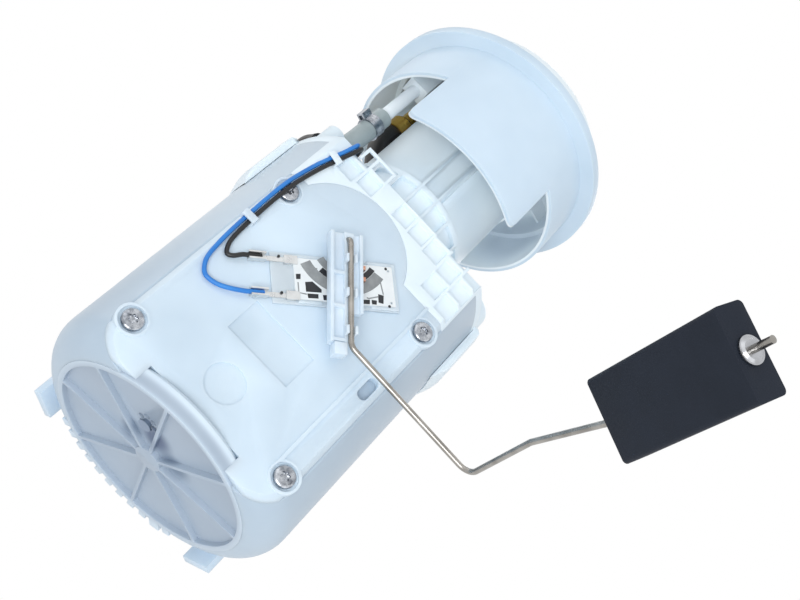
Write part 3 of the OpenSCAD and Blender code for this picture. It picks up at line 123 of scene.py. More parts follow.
finishes = {
    "whiteShell": dict(a=(208, 225, 239), b=(218, 234, 246), patch=26, rough=(0.30, 0.42), grain=900, bump=0.04,
                       milk=0.6, milkDepth=5.0),
    # painted light: the neck's tones are a lighter copy of the white shell, and its blot lightens the neck further,
    # lifting the shade under the apron
    "neckShell": dict(a=(224, 238, 249), b=(232, 244, 252), patch=26, rough=(0.30, 0.42), grain=900, bump=0.04,
                      milk=0.3, milkDepth=1.5, blots=[
                          dict(at=(0, 0, 175), reach=(31, 31, 50), tone=(238, 249, 255), strength=1.0, core=0.92)]),
    # painted shade: the cover's blots are darker patches where parts behind the thin cover shade it
    "coverShell": dict(a=(205, 222, 236), b=(215, 231, 244), patch=24, rough=(0.30, 0.42), grain=900, bump=0.04,
                       milk=0.35, milkDepth=4.0, blots=[
                           dict(at=(-9, -39, 42), reach=(9, 30, 9), tone=(186, 205, 218), strength=0.30),
                           dict(at=(-24, -39, 24), reach=(14, 30, 16), tone=(190, 208, 222), strength=0.30),
                           dict(at=(20, -39, 20), reach=(16, 30, 22), tone=(190, 208, 222), strength=0.25),
                           dict(at=(27, -39, 100), reach=(10, 30, 26), tone=(190, 208, 222), strength=0.35)]),
    # painted shade: the first blot darkens the face of the disc that looks down, out to near its edge, and the other
    # three are darker spots where parts behind the thin disc shade it
    "footDisc": dict(a=(214, 229, 242), b=(223, 237, 248), patch=48, rough=(0.34, 0.5), grain=700, bump=0.05,
                     milk=0.25, milkDepth=2.0, blots=[
                         dict(at=(0, 0, 2.2), reach=(50, 50, 6.5), tone=(158, 172, 188), strength=0.9, core=0.82),
                         dict(at=(-11.6, -5, 2.2), reach=(6, 9, 3), tone=(108, 125, 147), strength=0.9),
                         dict(at=(-2.6, -12.6, 2.2), reach=(9, 9, 3.4), tone=(88, 103, 130), strength=0.95),
                         dict(at=(8, -7.8, 2.2), reach=(9, 8, 3), tone=(108, 125, 147), strength=0.9)]),
    # painted light: the pot's tones are darker than the white shell, the first blot lightens its left flank as if a
    # lamp lit that side, and the other two lighten the lugs at its foot, lifting their shade
    "potShell": dict(a=(176, 193, 208), b=(187, 203, 217), patch=26, rough=(0.30, 0.42), grain=900, bump=0.04,
                     milk=0.4, milkDepth=3.0, blots=[
                         dict(at=(-53, -10, 105), reach=(44, 62, 84), tone=(208, 223, 235), strength=0.85),
                         dict(at=(41.6, 39.7, 6), reach=(8.5, 8.5, 18), tone=(201, 217, 231), strength=1.0, core=0.8),
                         dict(at=(-43.4, 37.7, 6), reach=(8.5, 8.5, 18), tone=(201, 217, 231), strength=1.0,
                              core=0.8)]),
    "milkyPlate": dict(a=(202, 220, 236), b=(212, 229, 243), patch=55, rough=(0.34, 0.5), grain=700, bump=0.05,
                       milk=0.25, milkDepth=3.0),
    # painted light and shade: the first blot lightens the flange within 50 mm of its axis as if light shone through
    # it, the second takes its top back to a plainer tone, the third darkens a patch at the right of the rim, and the
    # fourth lightens the hollow on the left
    "flangeShell": dict(a=(198, 216, 230), b=(210, 226, 239), patch=22, rough=(0.32, 0.46), grain=900, bump=0.04,
                        milk=0.35, milkDepth=2.0, blots=[
                            dict(at=(0, 0, 200), reach=(49.8, 49.8, 400), tone=(239, 248, 254), strength=1.0,
                                 core=0.985),
                            dict(at=(0, 0, 262), reach=(70, 70, 26), tone=(204, 221, 235), strength=1.0,
                                 core=0.75),
                            dict(at=(43, 26, 212), reach=(24, 26, 24), tone=(188, 202, 214), strength=0.8),
                            dict(at=(-40, 10, 218), reach=(22, 44, 20), tone=(236, 244, 246), strength=0.6)]),
    "leverShell": dict(a=(208, 223, 236), b=(221, 233, 243), patch=90, rough=(0.3, 0.4), grain=1200, bump=0.03,
                       milk=0.3, milkDepth=2.0),
    "ceramicCard": dict(a=(226, 231, 233), b=(236, 240, 241), patch=160, rough=(0.45, 0.6), grain=1500, bump=0.04),
    "printedTrack": dict(a=(24, 26, 30), b=(40, 42, 47), patch=240, rough=(0.35, 0.5), grain=2200, bump=0.05),
    "greyTrack": dict(a=(128, 132, 134), b=(152, 156, 157), patch=240, rough=(0.4, 0.55), grain=2200, bump=0.05),
    "zincSteel": dict(a=(168, 170, 174), b=(196, 198, 202), patch=260, rough=(0.2, 0.36), grain=1600, bump=0.05,
                      metal=1.0),
    "brightSteel": dict(a=(124, 130, 139), b=(204, 208, 214), patch=430, rough=(0.14, 0.32), grain=1600, bump=0.12,
                        metal=1.0),
    "tinPlate": dict(a=(206, 208, 209), b=(226, 228, 228), patch=260, rough=(0.24, 0.38), grain=1600, bump=0.05,
                     metal=0.85),
    "valveRubber": dict(a=(126, 141, 161), b=(144, 158, 178), patch=80, rough=(0.5, 0.65), grain=1400, bump=0.08),
    "drawnWire": dict(a=(138, 135, 130), b=(174, 171, 166), patch=130, rough=(0.22, 0.36), grain=2600, bump=0.06,
                      metal=1.0),
    "yellowBrass": dict(a=(196, 152, 62), b=(220, 180, 92), patch=150, rough=(0.2, 0.34), grain=1800, bump=0.05,
                        metal=1.0),
    "redCopper": dict(a=(200, 152, 130), b=(220, 176, 156), patch=260, rough=(0.22, 0.36), grain=1800, bump=0.05,
                      metal=1.0),
    "fuelRubber": dict(a=(14, 14, 15), b=(28, 28, 30), patch=80, rough=(0.42, 0.6), grain=1400, bump=0.12),
    "returnTube": dict(a=(150, 162, 164), b=(172, 184, 186), patch=80, rough=(0.32, 0.46), grain=1400, bump=0.08,
                       milk=0.2, milkDepth=2.0, blots=[
                           dict(at=(-46, -3, 136), reach=(22, 30, 19), tone=(22, 22, 24), strength=1.0,
                                core=0.9)]),
    "floatFoam": dict(a=(32, 37, 46), b=(39, 44, 54), patch=60, rough=(0.5, 0.66), grain=2400, bump=0.22,
                      shine=0.12),
    "blueJacket": dict(a=(30, 112, 196), b=(48, 134, 214), patch=60, rough=(0.3, 0.42), grain=1500, bump=0.04),
    "blackJacket": dict(a=(12, 13, 15), b=(24, 25, 28), patch=60, rough=(0.3, 0.42), grain=1500, bump=0.04),
    "redJacket": dict(a=(150, 26, 24), b=(176, 40, 34), patch=60, rough=(0.3, 0.42), grain=1500, bump=0.04),
    "brownJacket": dict(a=(84, 50, 32), b=(104, 66, 44), patch=60, rough=(0.3, 0.42), grain=1500, bump=0.04),
    "meshCloth": dict(a=(80, 84, 90), b=(104, 108, 114), patch=300, rough=(0.6, 0.8), grain=3000, bump=0.3),
    "pumpMoulding": dict(a=(178, 178, 168), b=(196, 196, 186), patch=90, rough=(0.4, 0.55), grain=1300, bump=0.08),
    "darkMoulding": dict(a=(26, 26, 29), b=(40, 40, 43), patch=90, rough=(0.4, 0.55), grain=1300, bump=0.08),
    "varnishedCore": dict(a=(112, 76, 48), b=(140, 98, 66), patch=200, rough=(0.3, 0.45), grain=1600, bump=0.1,
                          metal=0.6),
    "pressedCarbon": dict(a=(40, 40, 42), b=(56, 56, 58), patch=200, rough=(0.5, 0.65), grain=2600, bump=0.15),
}


noiseMiddle = {"From_Min": 0.3, "From_Max": 0.7}
reliefDepth = 0.4
defaultCore = 0.25
defaultShine = 0.5


# Lays a blot's tone over the colour: painted light where the tone is lighter, painted shade where it is darker
def shadeBlot(tree, where, base, blot, row):
    spot = setInputs(addNode(tree, "ShaderNodeMapping", (-900, row), vector_type="TEXTURE"),
                     Location=[v * mm for v in blot["at"]], Scale=[v * mm for v in blot["reach"]])
    far = addNode(tree, "ShaderNodeVectorMath", (-700, row), operation="LENGTH")
    fade = setInputs(addNode(tree, "ShaderNodeMapRange", (-500, row), interpolation_type="SMOOTHSTEP"),
                     From_Min=blot.get("core", defaultCore), From_Max=1.0, To_Min=blot["strength"], To_Max=0.0)
    mixer = addNode(tree, "ShaderNodeMix", (-300, row), data_type="RGBA")
    mixer.inputs["B"].default_value = colour(*blot["tone"])
    joinNodes(tree, (where, spot.inputs["Vector"]), (spot.outputs["Vector"], far.inputs[0]),
              (far.outputs["Value"], fade.inputs["Value"]), (fade.outputs["Result"], mixer.inputs["Factor"]),
              (base, mixer.inputs["A"]))
    return mixer.outputs["Result"]


def makeFinish(name, spec):
    material = bpy.data.materials.new(name)
    material.use_nodes = True
    tree = material.node_tree
    tree.nodes.clear()
    out = addNode(tree, "ShaderNodeOutputMaterial", (900, 0))
    skin = addNode(tree, "ShaderNodeBsdfPrincipled", (600, 0))
    where = addNode(tree, "ShaderNodeTexCoord", (-900, 0))
    patches = setInputs(addNode(tree, "ShaderNodeTexNoise", (-650, 200)), Scale=spec["patch"], Detail=3.0,
                        Roughness=0.55)
    grain = setInputs(addNode(tree, "ShaderNodeTexNoise", (-650, -200)), Scale=spec["grain"], Detail=2.0,
                      Roughness=0.6)
    mixer = addNode(tree, "ShaderNodeMix", (-300, 250), data_type="RGBA")
    mixer.inputs["A"].default_value = colour(*spec["a"])
    mixer.inputs["B"].default_value = colour(*spec["b"])
    spread = setInputs(addNode(tree, "ShaderNodeMapRange", (-480, 200)), **noiseMiddle)
    joinNodes(tree, (where.outputs["Object"], patches.inputs["Vector"]),
              (where.outputs["Object"], grain.inputs["Vector"]), (patches.outputs["Fac"], spread.inputs["Value"]),
              (spread.outputs["Result"], mixer.inputs["Factor"]))
    tone = mixer.outputs["Result"]
    for k, blot in enumerate(spec.get("blots", [])):
        tone = shadeBlot(tree, where.outputs["Object"], tone, blot, 500 + 200 * k)
    low, high = spec["rough"]
    polish = setInputs(addNode(tree, "ShaderNodeMapRange", (-300, 0)), To_Min=low, To_Max=high, **noiseMiddle)
    relief = setInputs(addNode(tree, "ShaderNodeBump", (250, -250)), Strength=spec["bump"], Distance=reliefDepth * mm)
    joinNodes(tree, (tone, skin.inputs["Base Color"]), (patches.outputs["Fac"], polish.inputs["Value"]),
              (polish.outputs["Result"], skin.inputs["Roughness"]), (grain.outputs["Fac"], relief.inputs["Height"]),
              (relief.outputs["Normal"], skin.inputs["Normal"]), (skin.outputs["BSDF"], out.inputs["Surface"]))
    skin.inputs["Metallic"].default_value = spec.get("metal", 0.0)
    skin.inputs["Specular IOR Level"].default_value = spec.get("shine", defaultShine)
    if spec.get("milk"):
        skin.inputs["Subsurface Weight"].default_value = spec["milk"]
        skin.inputs["Subsurface Radius"].default_value = (1.0, 1.0, 1.0)
        skin.inputs["Subsurface Scale"].default_value = spec["milkDepth"] * mm
    return material


finish = {name: makeFinish(name, spec) for name, spec in finishes.items()}
print("finishes:", len(finish))

nodeFinish = {
    "swirl_pot": "potShell", "front_cover": "coverShell", "cover_screws": "brightSteel", "base_plate": "footDisc",
    "foot_valve": "valveRubber", "shoulder_neck": "neckShell", "flange": "flangeShell", "contact_blades": "zincSteel",
    "feed_pipe": "yellowBrass", "feed_hose": "fuelRubber", "return_hose": "returnTube", "ear_clamps": "brightSteel",
    "feed_ferrule": "yellowBrass", "jet_tube": "milkyPlate", "sender_bracket": "whiteShell",
    "resistor_card": "ceramicCard", "card_terminals": "tinPlate", "lever_carrier": "leverShell",
    "float_wire": "drawnWire", "wiper_contacts": "redCopper", "level_float": "floatFoam", "push_nut": "zincSteel",
    "blue_wire": "blueJacket", "black_wire": "blackJacket", "pump_lead_red": "redJacket",
    "pump_lead_brown": "brownJacket", "pump_cradle": "milkyPlate", "rubber_rings": "fuelRubber",
    "inlet_strainer": "meshCloth", "pump_case": "zincSteel", "inlet_cap": "pumpMoulding", "impeller": "darkMoulding",
    "channel_plate": "pumpMoulding", "pump_shaft": "drawnWire", "armature": "varnishedCore",
    "commutator": "redCopper", "field_magnets": "pressedCarbon", "shaft_bushes": "yellowBrass",
    "outlet_cap": "pumpMoulding", "carbon_brushes": "pressedCarbon", "brush_springs": "zincSteel",
    "check_valve": "fuelRubber", "valve_spring": "zincSteel",
}


def dress(piece, finishName):
    piece.data.materials.clear()
    piece.data.materials.append(finish[finishName])


for name, finishName in nodeFinish.items():
    dress(nodes[name], finishName)

# The valve's spring gets a mesh of its own


def shortenSpring():
    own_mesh(nodes["valve_spring"])


shortenSpring()


# Mesh helpers


def newPiece(name, mesh, finishName):
    piece = bpy.data.objects.new(name, mesh)
    scene.collection.objects.link(piece)
    dress(piece, finishName)
    return piece


def baked(piece):
    graph = bpy.context.evaluated_depsgraph_get()
    graph.update()
    mesh = bpy.data.meshes.new_from_object(piece.evaluated_get(graph))
    piece.modifiers.clear()
    old = piece.data
    piece.data = mesh
    if isinstance(old, bpy.types.Mesh) and old.users == 0:
        bpy.data.meshes.remove(old)
    return piece


def smoothBy(mesh, degrees):
    for polygon in mesh.polygons:
        polygon.use_smooth = True
    mesh.set_sharp_from_angle(angle=math.radians(degrees))


# A copy of a CAD node with its edges rounded a little, which then stands for it. Angles are in degrees

cleaning = {"merge": 0.002, "flat": 0.6, "longEdge": 2.5}
smoothAngles = {"rounded": 35, "swept": 50, "screw": 38}

def longSharpEdges(work, width, angle):
    chosen = []
    for edge in work.edges:
        if len(edge.link_faces) == 2 and edge.calc_face_angle(0) > math.radians(angle):
            around = {e for v in edge.verts for e in v.link_edges}
            if min(e.calc_length() for e in around) > cleaning["longEdge"] * width * mm:
                chosen.append(edge)
    return chosen


def softened(nodeName, pieceName, width, body=rootBody, segments=2, angle=32, picked=False):
    source = nodes[nodeName]
    work = bmesh.new()
    work.from_mesh(source.data)
    bmesh.ops.remove_doubles(work, verts=work.verts, dist=cleaning["merge"] * mm)
    bmesh.ops.dissolve_limit(work, angle_limit=math.radians(cleaning["flat"]), verts=work.verts, edges=work.edges)
    if picked:  # a lattice with tiny steps, where the modifier would shrink every edge to nothing
        bmesh.ops.bevel(work, geom=longSharpEdges(work, width, angle), offset=width * mm, segments=segments,
                        profile=0.5, affect="EDGES", clamp_overlap=False)
    mesh = bpy.data.meshes.new(pieceName)
    work.to_mesh(mesh)
    work.free()
    piece = newPiece(pieceName, mesh, nodeFinish[nodeName])
    if not picked:
        edge = piece.modifiers.new("edge", "BEVEL")
        edge.width = width * mm
        edge.segments = segments
        edge.limit_method = "ANGLE"
        edge.angle_limit = math.radians(angle)
        edge.use_clamp_overlap = True
        baked(piece)
    dress(piece, nodeFinish[nodeName])
    smoothBy(piece.data, smoothAngles["rounded"])
    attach(piece, body)
    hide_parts(nodeName)
    return piece


softParts = {
    "swirl_pot": dict(pieceName="potShell", width=0.35),
    "front_cover": dict(pieceName="coverPlate", width=0.3),
    "base_plate": dict(pieceName="footPlate", width=0.25),
    "flange": dict(pieceName="tankFlange", width=0.4),
    "sender_bracket": dict(pieceName="senderBase", width=0.2),
    "shoulder_neck": dict(pieceName="shoulderAndNeck", width=0.22, picked=True),
    "lever_carrier": dict(pieceName="leverCarrier", width=0.18, body="lever"),
    "level_float": dict(pieceName="foamFloat", width=0.5, body="float_body", segments=3),
}
for nodeName, how in softParts.items():
    softened(nodeName, **how)
print("rounded copies:", len(softParts))


# Smooth hoses and wires on the routes of the CAD, swept with a node tree


def curvePoints(route, steps):
    points = []
    last = len(route) - 1
    for i in range(last):
        a, b = Vector(route[max(i - 1, 0)]), Vector(route[i])
        c, d = Vector(route[i + 1]), Vector(route[min(i + 2, last)])
        for k in range(steps):
            u = k / steps
            points.append(0.5 * (2 * b + u * (c - a) + u * u * (2 * a - 5 * b + 4 * c - d)
                                 + u ** 3 * (3 * b - a - 3 * c + d)))
    points.append(Vector(route[last]))
    return points


def newTree(name, sockets):
    tree = bpy.data.node_groups.new(name, "GeometryNodeTree")
    tree.is_modifier = True
    tree.interface.new_socket("Geometry", in_out="INPUT", socket_type="NodeSocketGeometry")
    for label, kind in sockets.items():
        tree.interface.new_socket(label, in_out="INPUT", socket_type="NodeSocket" + kind)
    tree.interface.new_socket("Geometry", in_out="OUTPUT", socket_type="NodeSocketGeometry")
    return tree, addNode(tree, "NodeGroupInput", (-900, 0)), addNode(tree, "NodeGroupOutput", (800, 0))


def paintAndEnd(tree, start, end, geometry):
    real = addNode(tree, "GeometryNodeRealizeInstances", (200, 0))
    paint = addNode(tree, "GeometryNodeSetMaterial", (500, 0))
    joinNodes(tree, (geometry, real.inputs["Geometry"]), (real.outputs["Geometry"], paint.inputs["Geometry"]),
              (start.outputs["Finish"], paint.inputs["Material"]),
              (paint.outputs["Geometry"], end.inputs["Geometry"]))


def sweepTree():
    tree, start, end = newTree("sweepAlongRoute", {"Outer Radius": "Float", "Sides": "Int", "Finish": "Material"})
    line = addNode(tree, "GeometryNodeMeshToCurve", (-400, 100))
    ring = addNode(tree, "GeometryNodeCurvePrimitiveCircle", (-400, -150))
    sweep = addNode(tree, "GeometryNodeCurveToMesh", (-150, 0))
    sweep.inputs["Fill Caps"].default_value = True
    joinNodes(tree, (start.outputs["Geometry"], line.inputs["Mesh"]),
              (start.outputs["Outer Radius"], ring.inputs["Radius"]),
              (start.outputs["Sides"], ring.inputs["Resolution"]), (line.outputs["Curve"], sweep.inputs["Curve"]),
              (ring.outputs["Curve"], sweep.inputs["Profile Curve"]))
    paintAndEnd(tree, start, end, sweep.outputs["Mesh"])
    return tree


def setSocket(modifier, label, value):
    for item in modifier.node_group.interface.items_tree:
        if item.item_type == "SOCKET" and item.in_out == "INPUT" and item.name == label:
            modifier[item.identifier] = value
            return
    raise KeyError(label)


sweeper = sweepTree()


def swept(pieceName, route, radius, finishName, nodeName, sides=16, steps=6):
    points = [p * mm for p in curvePoints(route, steps)]
    mesh = bpy.data.meshes.new(pieceName)
    mesh.from_pydata(points, [(i, i + 1) for i in range(len(points) - 1)], [])
    piece = newPiece(pieceName, mesh, finishName)
    modifier = piece.modifiers.new("sweep", "NODES")
    modifier.node_group = sweeper
    setSocket(modifier, "Outer Radius", radius * mm)
    setSocket(modifier, "Sides", sides)
    setSocket(modifier, "Finish", finish[finishName])
    baked(piece)
    smoothBy(piece.data, smoothAngles["swept"])
    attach(piece, rootBody)
    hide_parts(nodeName)
    return piece


# Routes in mm. The wires run leadY in front of the axis, beside the cover's left edge

leadY = 38.6
left = -35.498
crimps = {"low": (-17.185, 52.637), "high": (-27.212, 62.119), "along": (0.687, 0.7266), "y": -39.6}


def atCrimp(which, out):
    (x, z), (ux, uz) = crimps[which], crimps["along"]
    return (x + ux * out, crimps["y"], z + uz * out)


wireRoutes = {
    "blue_wire": dict(piece="blueSenderWire", finish="blueJacket", radius=0.85, route=[
        atCrimp("low", 5), atCrimp("low", 2.5), atCrimp("low", 0), atCrimp("low", -2), (-22.4, -leadY - 0.6, 48.2),
        (-26.4, -leadY, 46), (-30.6, -leadY, 45), (-33.4, -leadY, 46.4), (left - 0.3, -leadY, 50.4),
        (left - 1.5, -leadY, 57), (left - 2.3, -leadY, 66.04), (left - 2.7, -leadY, 76.2),
        (left - 2.9, -leadY - 0.6, 85.98), (left - 2.7, -leadY - 1.4, 94.74), (left - 2.1, -leadY - 0.6, 103),
        (left - 0.9, -leadY, 112), (left + 0.7, -leadY, 119.5), (left + 2.1, -leadY, 126),
        (left + 2.9, -leadY - 0.2, 130), (left + 3.2, -leadY + 0.5, 132.9), (left + 3.3, -leadY + 3.1, 133.7),
        (-32.2, -30, 133.5), (-32.6, -16, 133.3), (-31, -7, 134.5), (-25, -7, 137.5), (-19, -12, 145.5),
        (-16, -15, 161.5), (-16, -15, 193.5), (-9, -11, 221.1), (2.5, -6, 227.1)]),
    "black_wire": dict(piece="blackSenderWire", finish="blackJacket", radius=0.85, route=[
        atCrimp("high", 5), atCrimp("high", 2.5), atCrimp("high", 0), atCrimp("high", -2), (-30.4, -leadY - 0.4, 58),
        (-32.2, -leadY, 57), (left + 1.8, -leadY, 58.4), (left + 0.4, -leadY, 62), (left - 0.3, -leadY, 68.04),
        (left - 0.7, -leadY, 76.2), (left - 0.9, -leadY - 0.6, 85.98), (left - 0.7, -leadY - 1.4, 94.74),
        (left - 0.1, -leadY - 0.6, 103), (left + 1.1, -leadY, 112), (left + 2.6, -leadY, 119.5),
        (left + 4, -leadY, 126), (left + 4.9, -leadY - 0.2, 130), (left + 5.2, -leadY + 0.5, 132.9),
        (left + 5.3, -leadY + 3.1, 133.7), (-30.2, -30, 133.5), (-30.6, -17, 133.3), (-29.5, -9.5, 134.5),
        (-24, -9.4, 137.5), (-17.4, -13.8, 145.5), (-13.8, -16.5, 161.5), (-13.8, -16.5, 193.5), (-5, -12, 221.1),
        (7.5, -6, 227.1)]),
    "feed_hose": dict(piece="feedHose", finish="fuelRubber", radius=5.6, sides=32, route=[
        (0, 5, 111.2), (0, 5, 127.2), (-1, 5, 136.2), (-6, 6, 148.2), (-16, 7, 160.2), (-26, 8, 171.2),
        (-31, 8, 180.5), (-31, 8, 189.5), (-31, 8, 197.5)]),
    "return_hose": dict(piece="returnHose", finish="returnTube", radius=4.5, sides=32, route=[
        (-38.5, -6, 180), (-38.5, -6, 166), (-38.9, -5.2, 156.5), (-40.6, -1.2, 147.5), (-43.6, 3.4, 140.5),
        (-47, 4.2, 137.6), (-49.4, -1.5, 136.6), (-48.45, -9.86, 136.4), (-46.48, -13.9, 136.4),
        (-45.16, -16.6, 136.4)]),
}
for nodeName, w in wireRoutes.items():
    swept(w["piece"], w["route"], w["radius"], w["finish"], nodeName, sides=w.get("sides", 16))
print("wires and hoses swept:", len(wireRoutes))


# Screws with a six-lobed recess, set on the cover by a node tree. The recess rings are shares of its radius, each
# with its drop below the head's top, the head rings radii with such a drop, and those under it radii with a height

screwHead = {
    "radius": 4.0, "height": 1.8, "shank": 2.0, "recess": 1.5, "lobe": 0.17, "lobes": 6, "steps": 60,
    "turn": 0.7,
    "recessRings": [(0.72, 1.35), (1, 1.1), (1, 0.2), (1.08, 0.03)],
    "headRings": [(2.1, 0), (2.9, 0.04), (3.4, 0.16), (3.75, 0.38), (3.94, 0.7), (4.0, 1.0)],
    "underHead": [(4.0, 0.12), (3.88, 0)],
}


def screwMesh(v, shankLength):
    top, turns = v["height"], v["steps"]
    lobes = [v["recess"] * (1 + v["lobe"] * math.cos(v["lobes"] * 2 * math.pi * k / turns)) for k in range(turns)]
    rings = [([share * r for r in lobes], top - drop) for share, drop in v["recessRings"]]
    plain = [(r, top - drop) for r, drop in v["headRings"]]
    plain += v["underHead"] + [(v["shank"], 0), (v["shank"], -shankLength)]
    rings += [([r] * turns, h) for r, h in plain]
    work = bmesh.new()
    loops = []
    for radii, high in rings:
        angles = [2 * math.pi * k / turns for k in range(turns)]
        loops.append([work.verts.new((r * math.cos(a) * mm, -high * mm, r * math.sin(a) * mm))
                      for r, a in zip(radii, angles)])
    for low, up in zip(loops, loops[1:]):
        for k in range(turns):
            work.faces.new((low[k], low[k - 1], up[k - 1], up[k]))
    for loop in (loops[0], loops[-1]):
        middle = work.verts.new(sum((p.co for p in loop), Vector()) / turns)
        for k in range(turns):
            work.faces.new((loop[k], loop[k - 1], middle))
    bmesh.ops.recalc_face_normals(work, faces=work.faces)
    mesh = bpy.data.meshes.new("screwHead")
    work.to_mesh(mesh)
    work.free()
    smoothBy(mesh, smoothAngles["screw"])
    return mesh


def placeTree():
    tree, start, end = newTree("screwsOnPlaces", {"Screw": "Object", "Turn": "Float", "Finish": "Material"})
    part = addNode(tree, "GeometryNodeObjectInfo", (-650, -150))
    index = addNode(tree, "GeometryNodeInputIndex", (-900, -350))
    turn = addNode(tree, "ShaderNodeMath", (-700, -350), operation="MULTIPLY")
    spin = addNode(tree, "ShaderNodeCombineXYZ", (-500, -350))
    put = addNode(tree, "GeometryNodeInstanceOnPoints", (-250, 0))
    joinNodes(tree, (start.outputs["Geometry"], put.inputs["Points"]),
              (start.outputs["Screw"], part.inputs["Object"]),
              (part.outputs["Geometry"], put.inputs["Instance"]), (index.outputs[0], turn.inputs[0]),
              (start.outputs["Turn"], turn.inputs[1]), (turn.outputs[0], spin.inputs["Y"]),
              (spin.outputs[0], put.inputs["Rotation"]))
    paintAndEnd(tree, start, end, put.outputs["Instances"])
    return tree


def makeScrews(v):
    low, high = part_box("cover_screws")
    r = v["radius"] * mm
    seat = low[1] + v["height"] * mm
    places = [(x, seat, z) for x in (low[0] + r, high[0] - r) for z in (low[2] + r, high[2] - r)]
    model = bpy.data.objects.new("screwModel", screwMesh(v, (high[1] - seat) / mm))
    scene.collection.objects.link(model)
    mesh = bpy.data.meshes.new("coverScrews")
    mesh.from_pydata(places, [], [])
    piece = newPiece("coverScrews", mesh, "brightSteel")
    modifier = piece.modifiers.new("place", "NODES")
    modifier.node_group = placeTree()
    setSocket(modifier, "Screw", model)
    setSocket(modifier, "Turn", v["turn"])
    setSocket(modifier, "Finish", finish["brightSteel"])
    baked(piece)
    bpy.data.objects.remove(model)
    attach(piece, rootBody)
    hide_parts("cover_screws")
    return len(places)


print("screws placed:", makeScrews(screwHead))


# Printed tracks on the resistor card, drawn about the lever's pivot

cardPrint = {
    "pivot": (-7.3, 93.8), "origin": (-7.5, 91.9), "turn": 46.6, "faceY": 39.0, "ink": 0.05,
    "sunk": 0.02, "darkOver": 0.02, "hairUnder": 0.01, "hairWidth": 0.5, "arcStep": 4, "dotSteps": 16,
    "grey": [dict(low=14.8, high=19.1, start=-107, stop=10), dict(low=9.2, high=12.2, start=-103, stop=-40)],
    "dark": [dict(low=12.4, high=14.7, start=-87, stop=-64), dict(low=12.4, high=14.7, start=-12, stop=12)],
    "dots": [(18.3, -5.9), (18.2, -20.9), (-23.6, -5.1), (-23.4, -19.1)], "dotRadius": 0.55,
    "blocks": [
        [(-14.3, -14.2), (-11.5, -13.8), (-8.2, -16.6), (-8.3, -17.8), (-14.2, -17.9)],
        [(-13.8, -18.6), (-9.6, -18.5), (-9.7, -20.2), (-13.6, -20.3)],
        [(-7.9, -18.7), (-5.3, -18.5), (-5.5, -20.6), (-7.7, -20.6)],
        [(-17.6, -11.4), (-15.8, -11.2), (-16.0, -13.2), (-17.6, -13.4)],
        [(-4.2, -18.9), (-1.4, -18.9), (-1.4, -20.6), (-4.2, -20.6)],
        [(-0.4, -18.9), (2.4, -18.9), (2.4, -20.6), (-0.4, -20.6)],
        [(3.6, -18.9), (6.4, -18.9), (6.4, -20.6), (3.6, -20.6)],
        [(7.7, -19.1), (10.5, -18.9), (10.3, -20.7), (7.7, -20.7)],
        [(11.2, -18.9), (13.3, -19.0), (13.0, -20.6), (11.2, -20.6)],
        [(14.1, -16.4), (16.3, -16.8), (15.8, -20.1), (13.9, -19.7)],
    ],
    "hairlines": [[(14.6, -11.6), (15.4, -10.7), (16.2, -16.4)], [(9.3, -18.2), (10.2, -18.4), (14.0, -17.4)],
                  [(-17.0, -14.5), (-17.0, -18.5), (-14.0, -18.9)], [(-12.5, -8.2), (-9.2, -8.6)]],
}


def cardPoint(u, v):
    turn = math.radians(cardPrint["turn"])
    px, pz = cardPrint["origin"]
    return px + u * math.cos(turn) - v * math.sin(turn), pz + u * math.sin(turn) + v * math.cos(turn)


def arcLoop(low, high, start, stop):
    px, pz = cardPrint["pivot"]
    count = max(4, int((stop - start) / cardPrint["arcStep"]))
    angles = [math.radians(start + (stop - start) * k / count) for k in range(count + 1)]
    ring = [(px + high * math.cos(a), pz + high * math.sin(a)) for a in angles]
    return ring + [(px + low * math.cos(a), pz + low * math.sin(a)) for a in reversed(angles)]


def lineLoop(points, width):
    sides = [[], []]
    for i, p in enumerate(points):
        a, b = Vector(points[max(i - 1, 0)]), Vector(points[min(i + 1, len(points) - 1)])
        along = (b - a).normalized()
        for k, turn in enumerate((1, -1)):
            sides[k].append(tuple(Vector(p) + turn * width / 2 * Vector((-along.y, along.x))))
    return sides[0] + sides[1][::-1]


def dotLoop(centre, radius):
    steps = cardPrint["dotSteps"]
    turns = [2 * math.pi * k / steps for k in range(steps)]
    return [(centre[0] + radius * math.cos(a), centre[1] + radius * math.sin(a)) for a in turns]


def frontPlates(pieceName, loops, backY, frontY, finishName, body=rootBody):
    work = bmesh.new()
    for loop in loops:
        back = [work.verts.new((x * mm, -backY * mm, z * mm)) for x, z in loop]
        face = work.faces.new(back)
        grown = bmesh.ops.extrude_face_region(work, geom=[face])
        moved = [g for g in grown["geom"] if isinstance(g, bmesh.types.BMVert)]
        bmesh.ops.translate(work, verts=moved, vec=(0, (backY - frontY) * mm, 0))
    bmesh.ops.recalc_face_normals(work, faces=work.faces)
    bmesh.ops.triangulate(work, faces=[f for f in work.faces if len(f.verts) > 4])
    mesh = bpy.data.meshes.new(pieceName)
    work.to_mesh(mesh)
    work.free()
    piece = newPiece(pieceName, mesh, finishName)
    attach(piece, body)
    return piece


def printCard(c):
    back, front = c["faceY"] - c["sunk"], c["faceY"] + c["ink"]
    frontPlates("cardArcs", [arcLoop(**g) for g in c["grey"]], back, front, "greyTrack")
    dark = [arcLoop(**d) for d in c["dark"]]
    dark += [[cardPoint(*q) for q in block] for block in c["blocks"]]
    dark += [dotLoop(cardPoint(*q), c["dotRadius"]) for q in c["dots"]]
    frontPlates("cardResistors", dark, back, front + c["darkOver"], "printedTrack")
    hair = [lineLoop([cardPoint(*q) for q in line], c["hairWidth"]) for line in c["hairlines"]]
    frontPlates("cardHairlines", hair, back, front - c["hairUnder"], "greyTrack")


printCard(cardPrint)
print("card printed")


# Light and backdrop

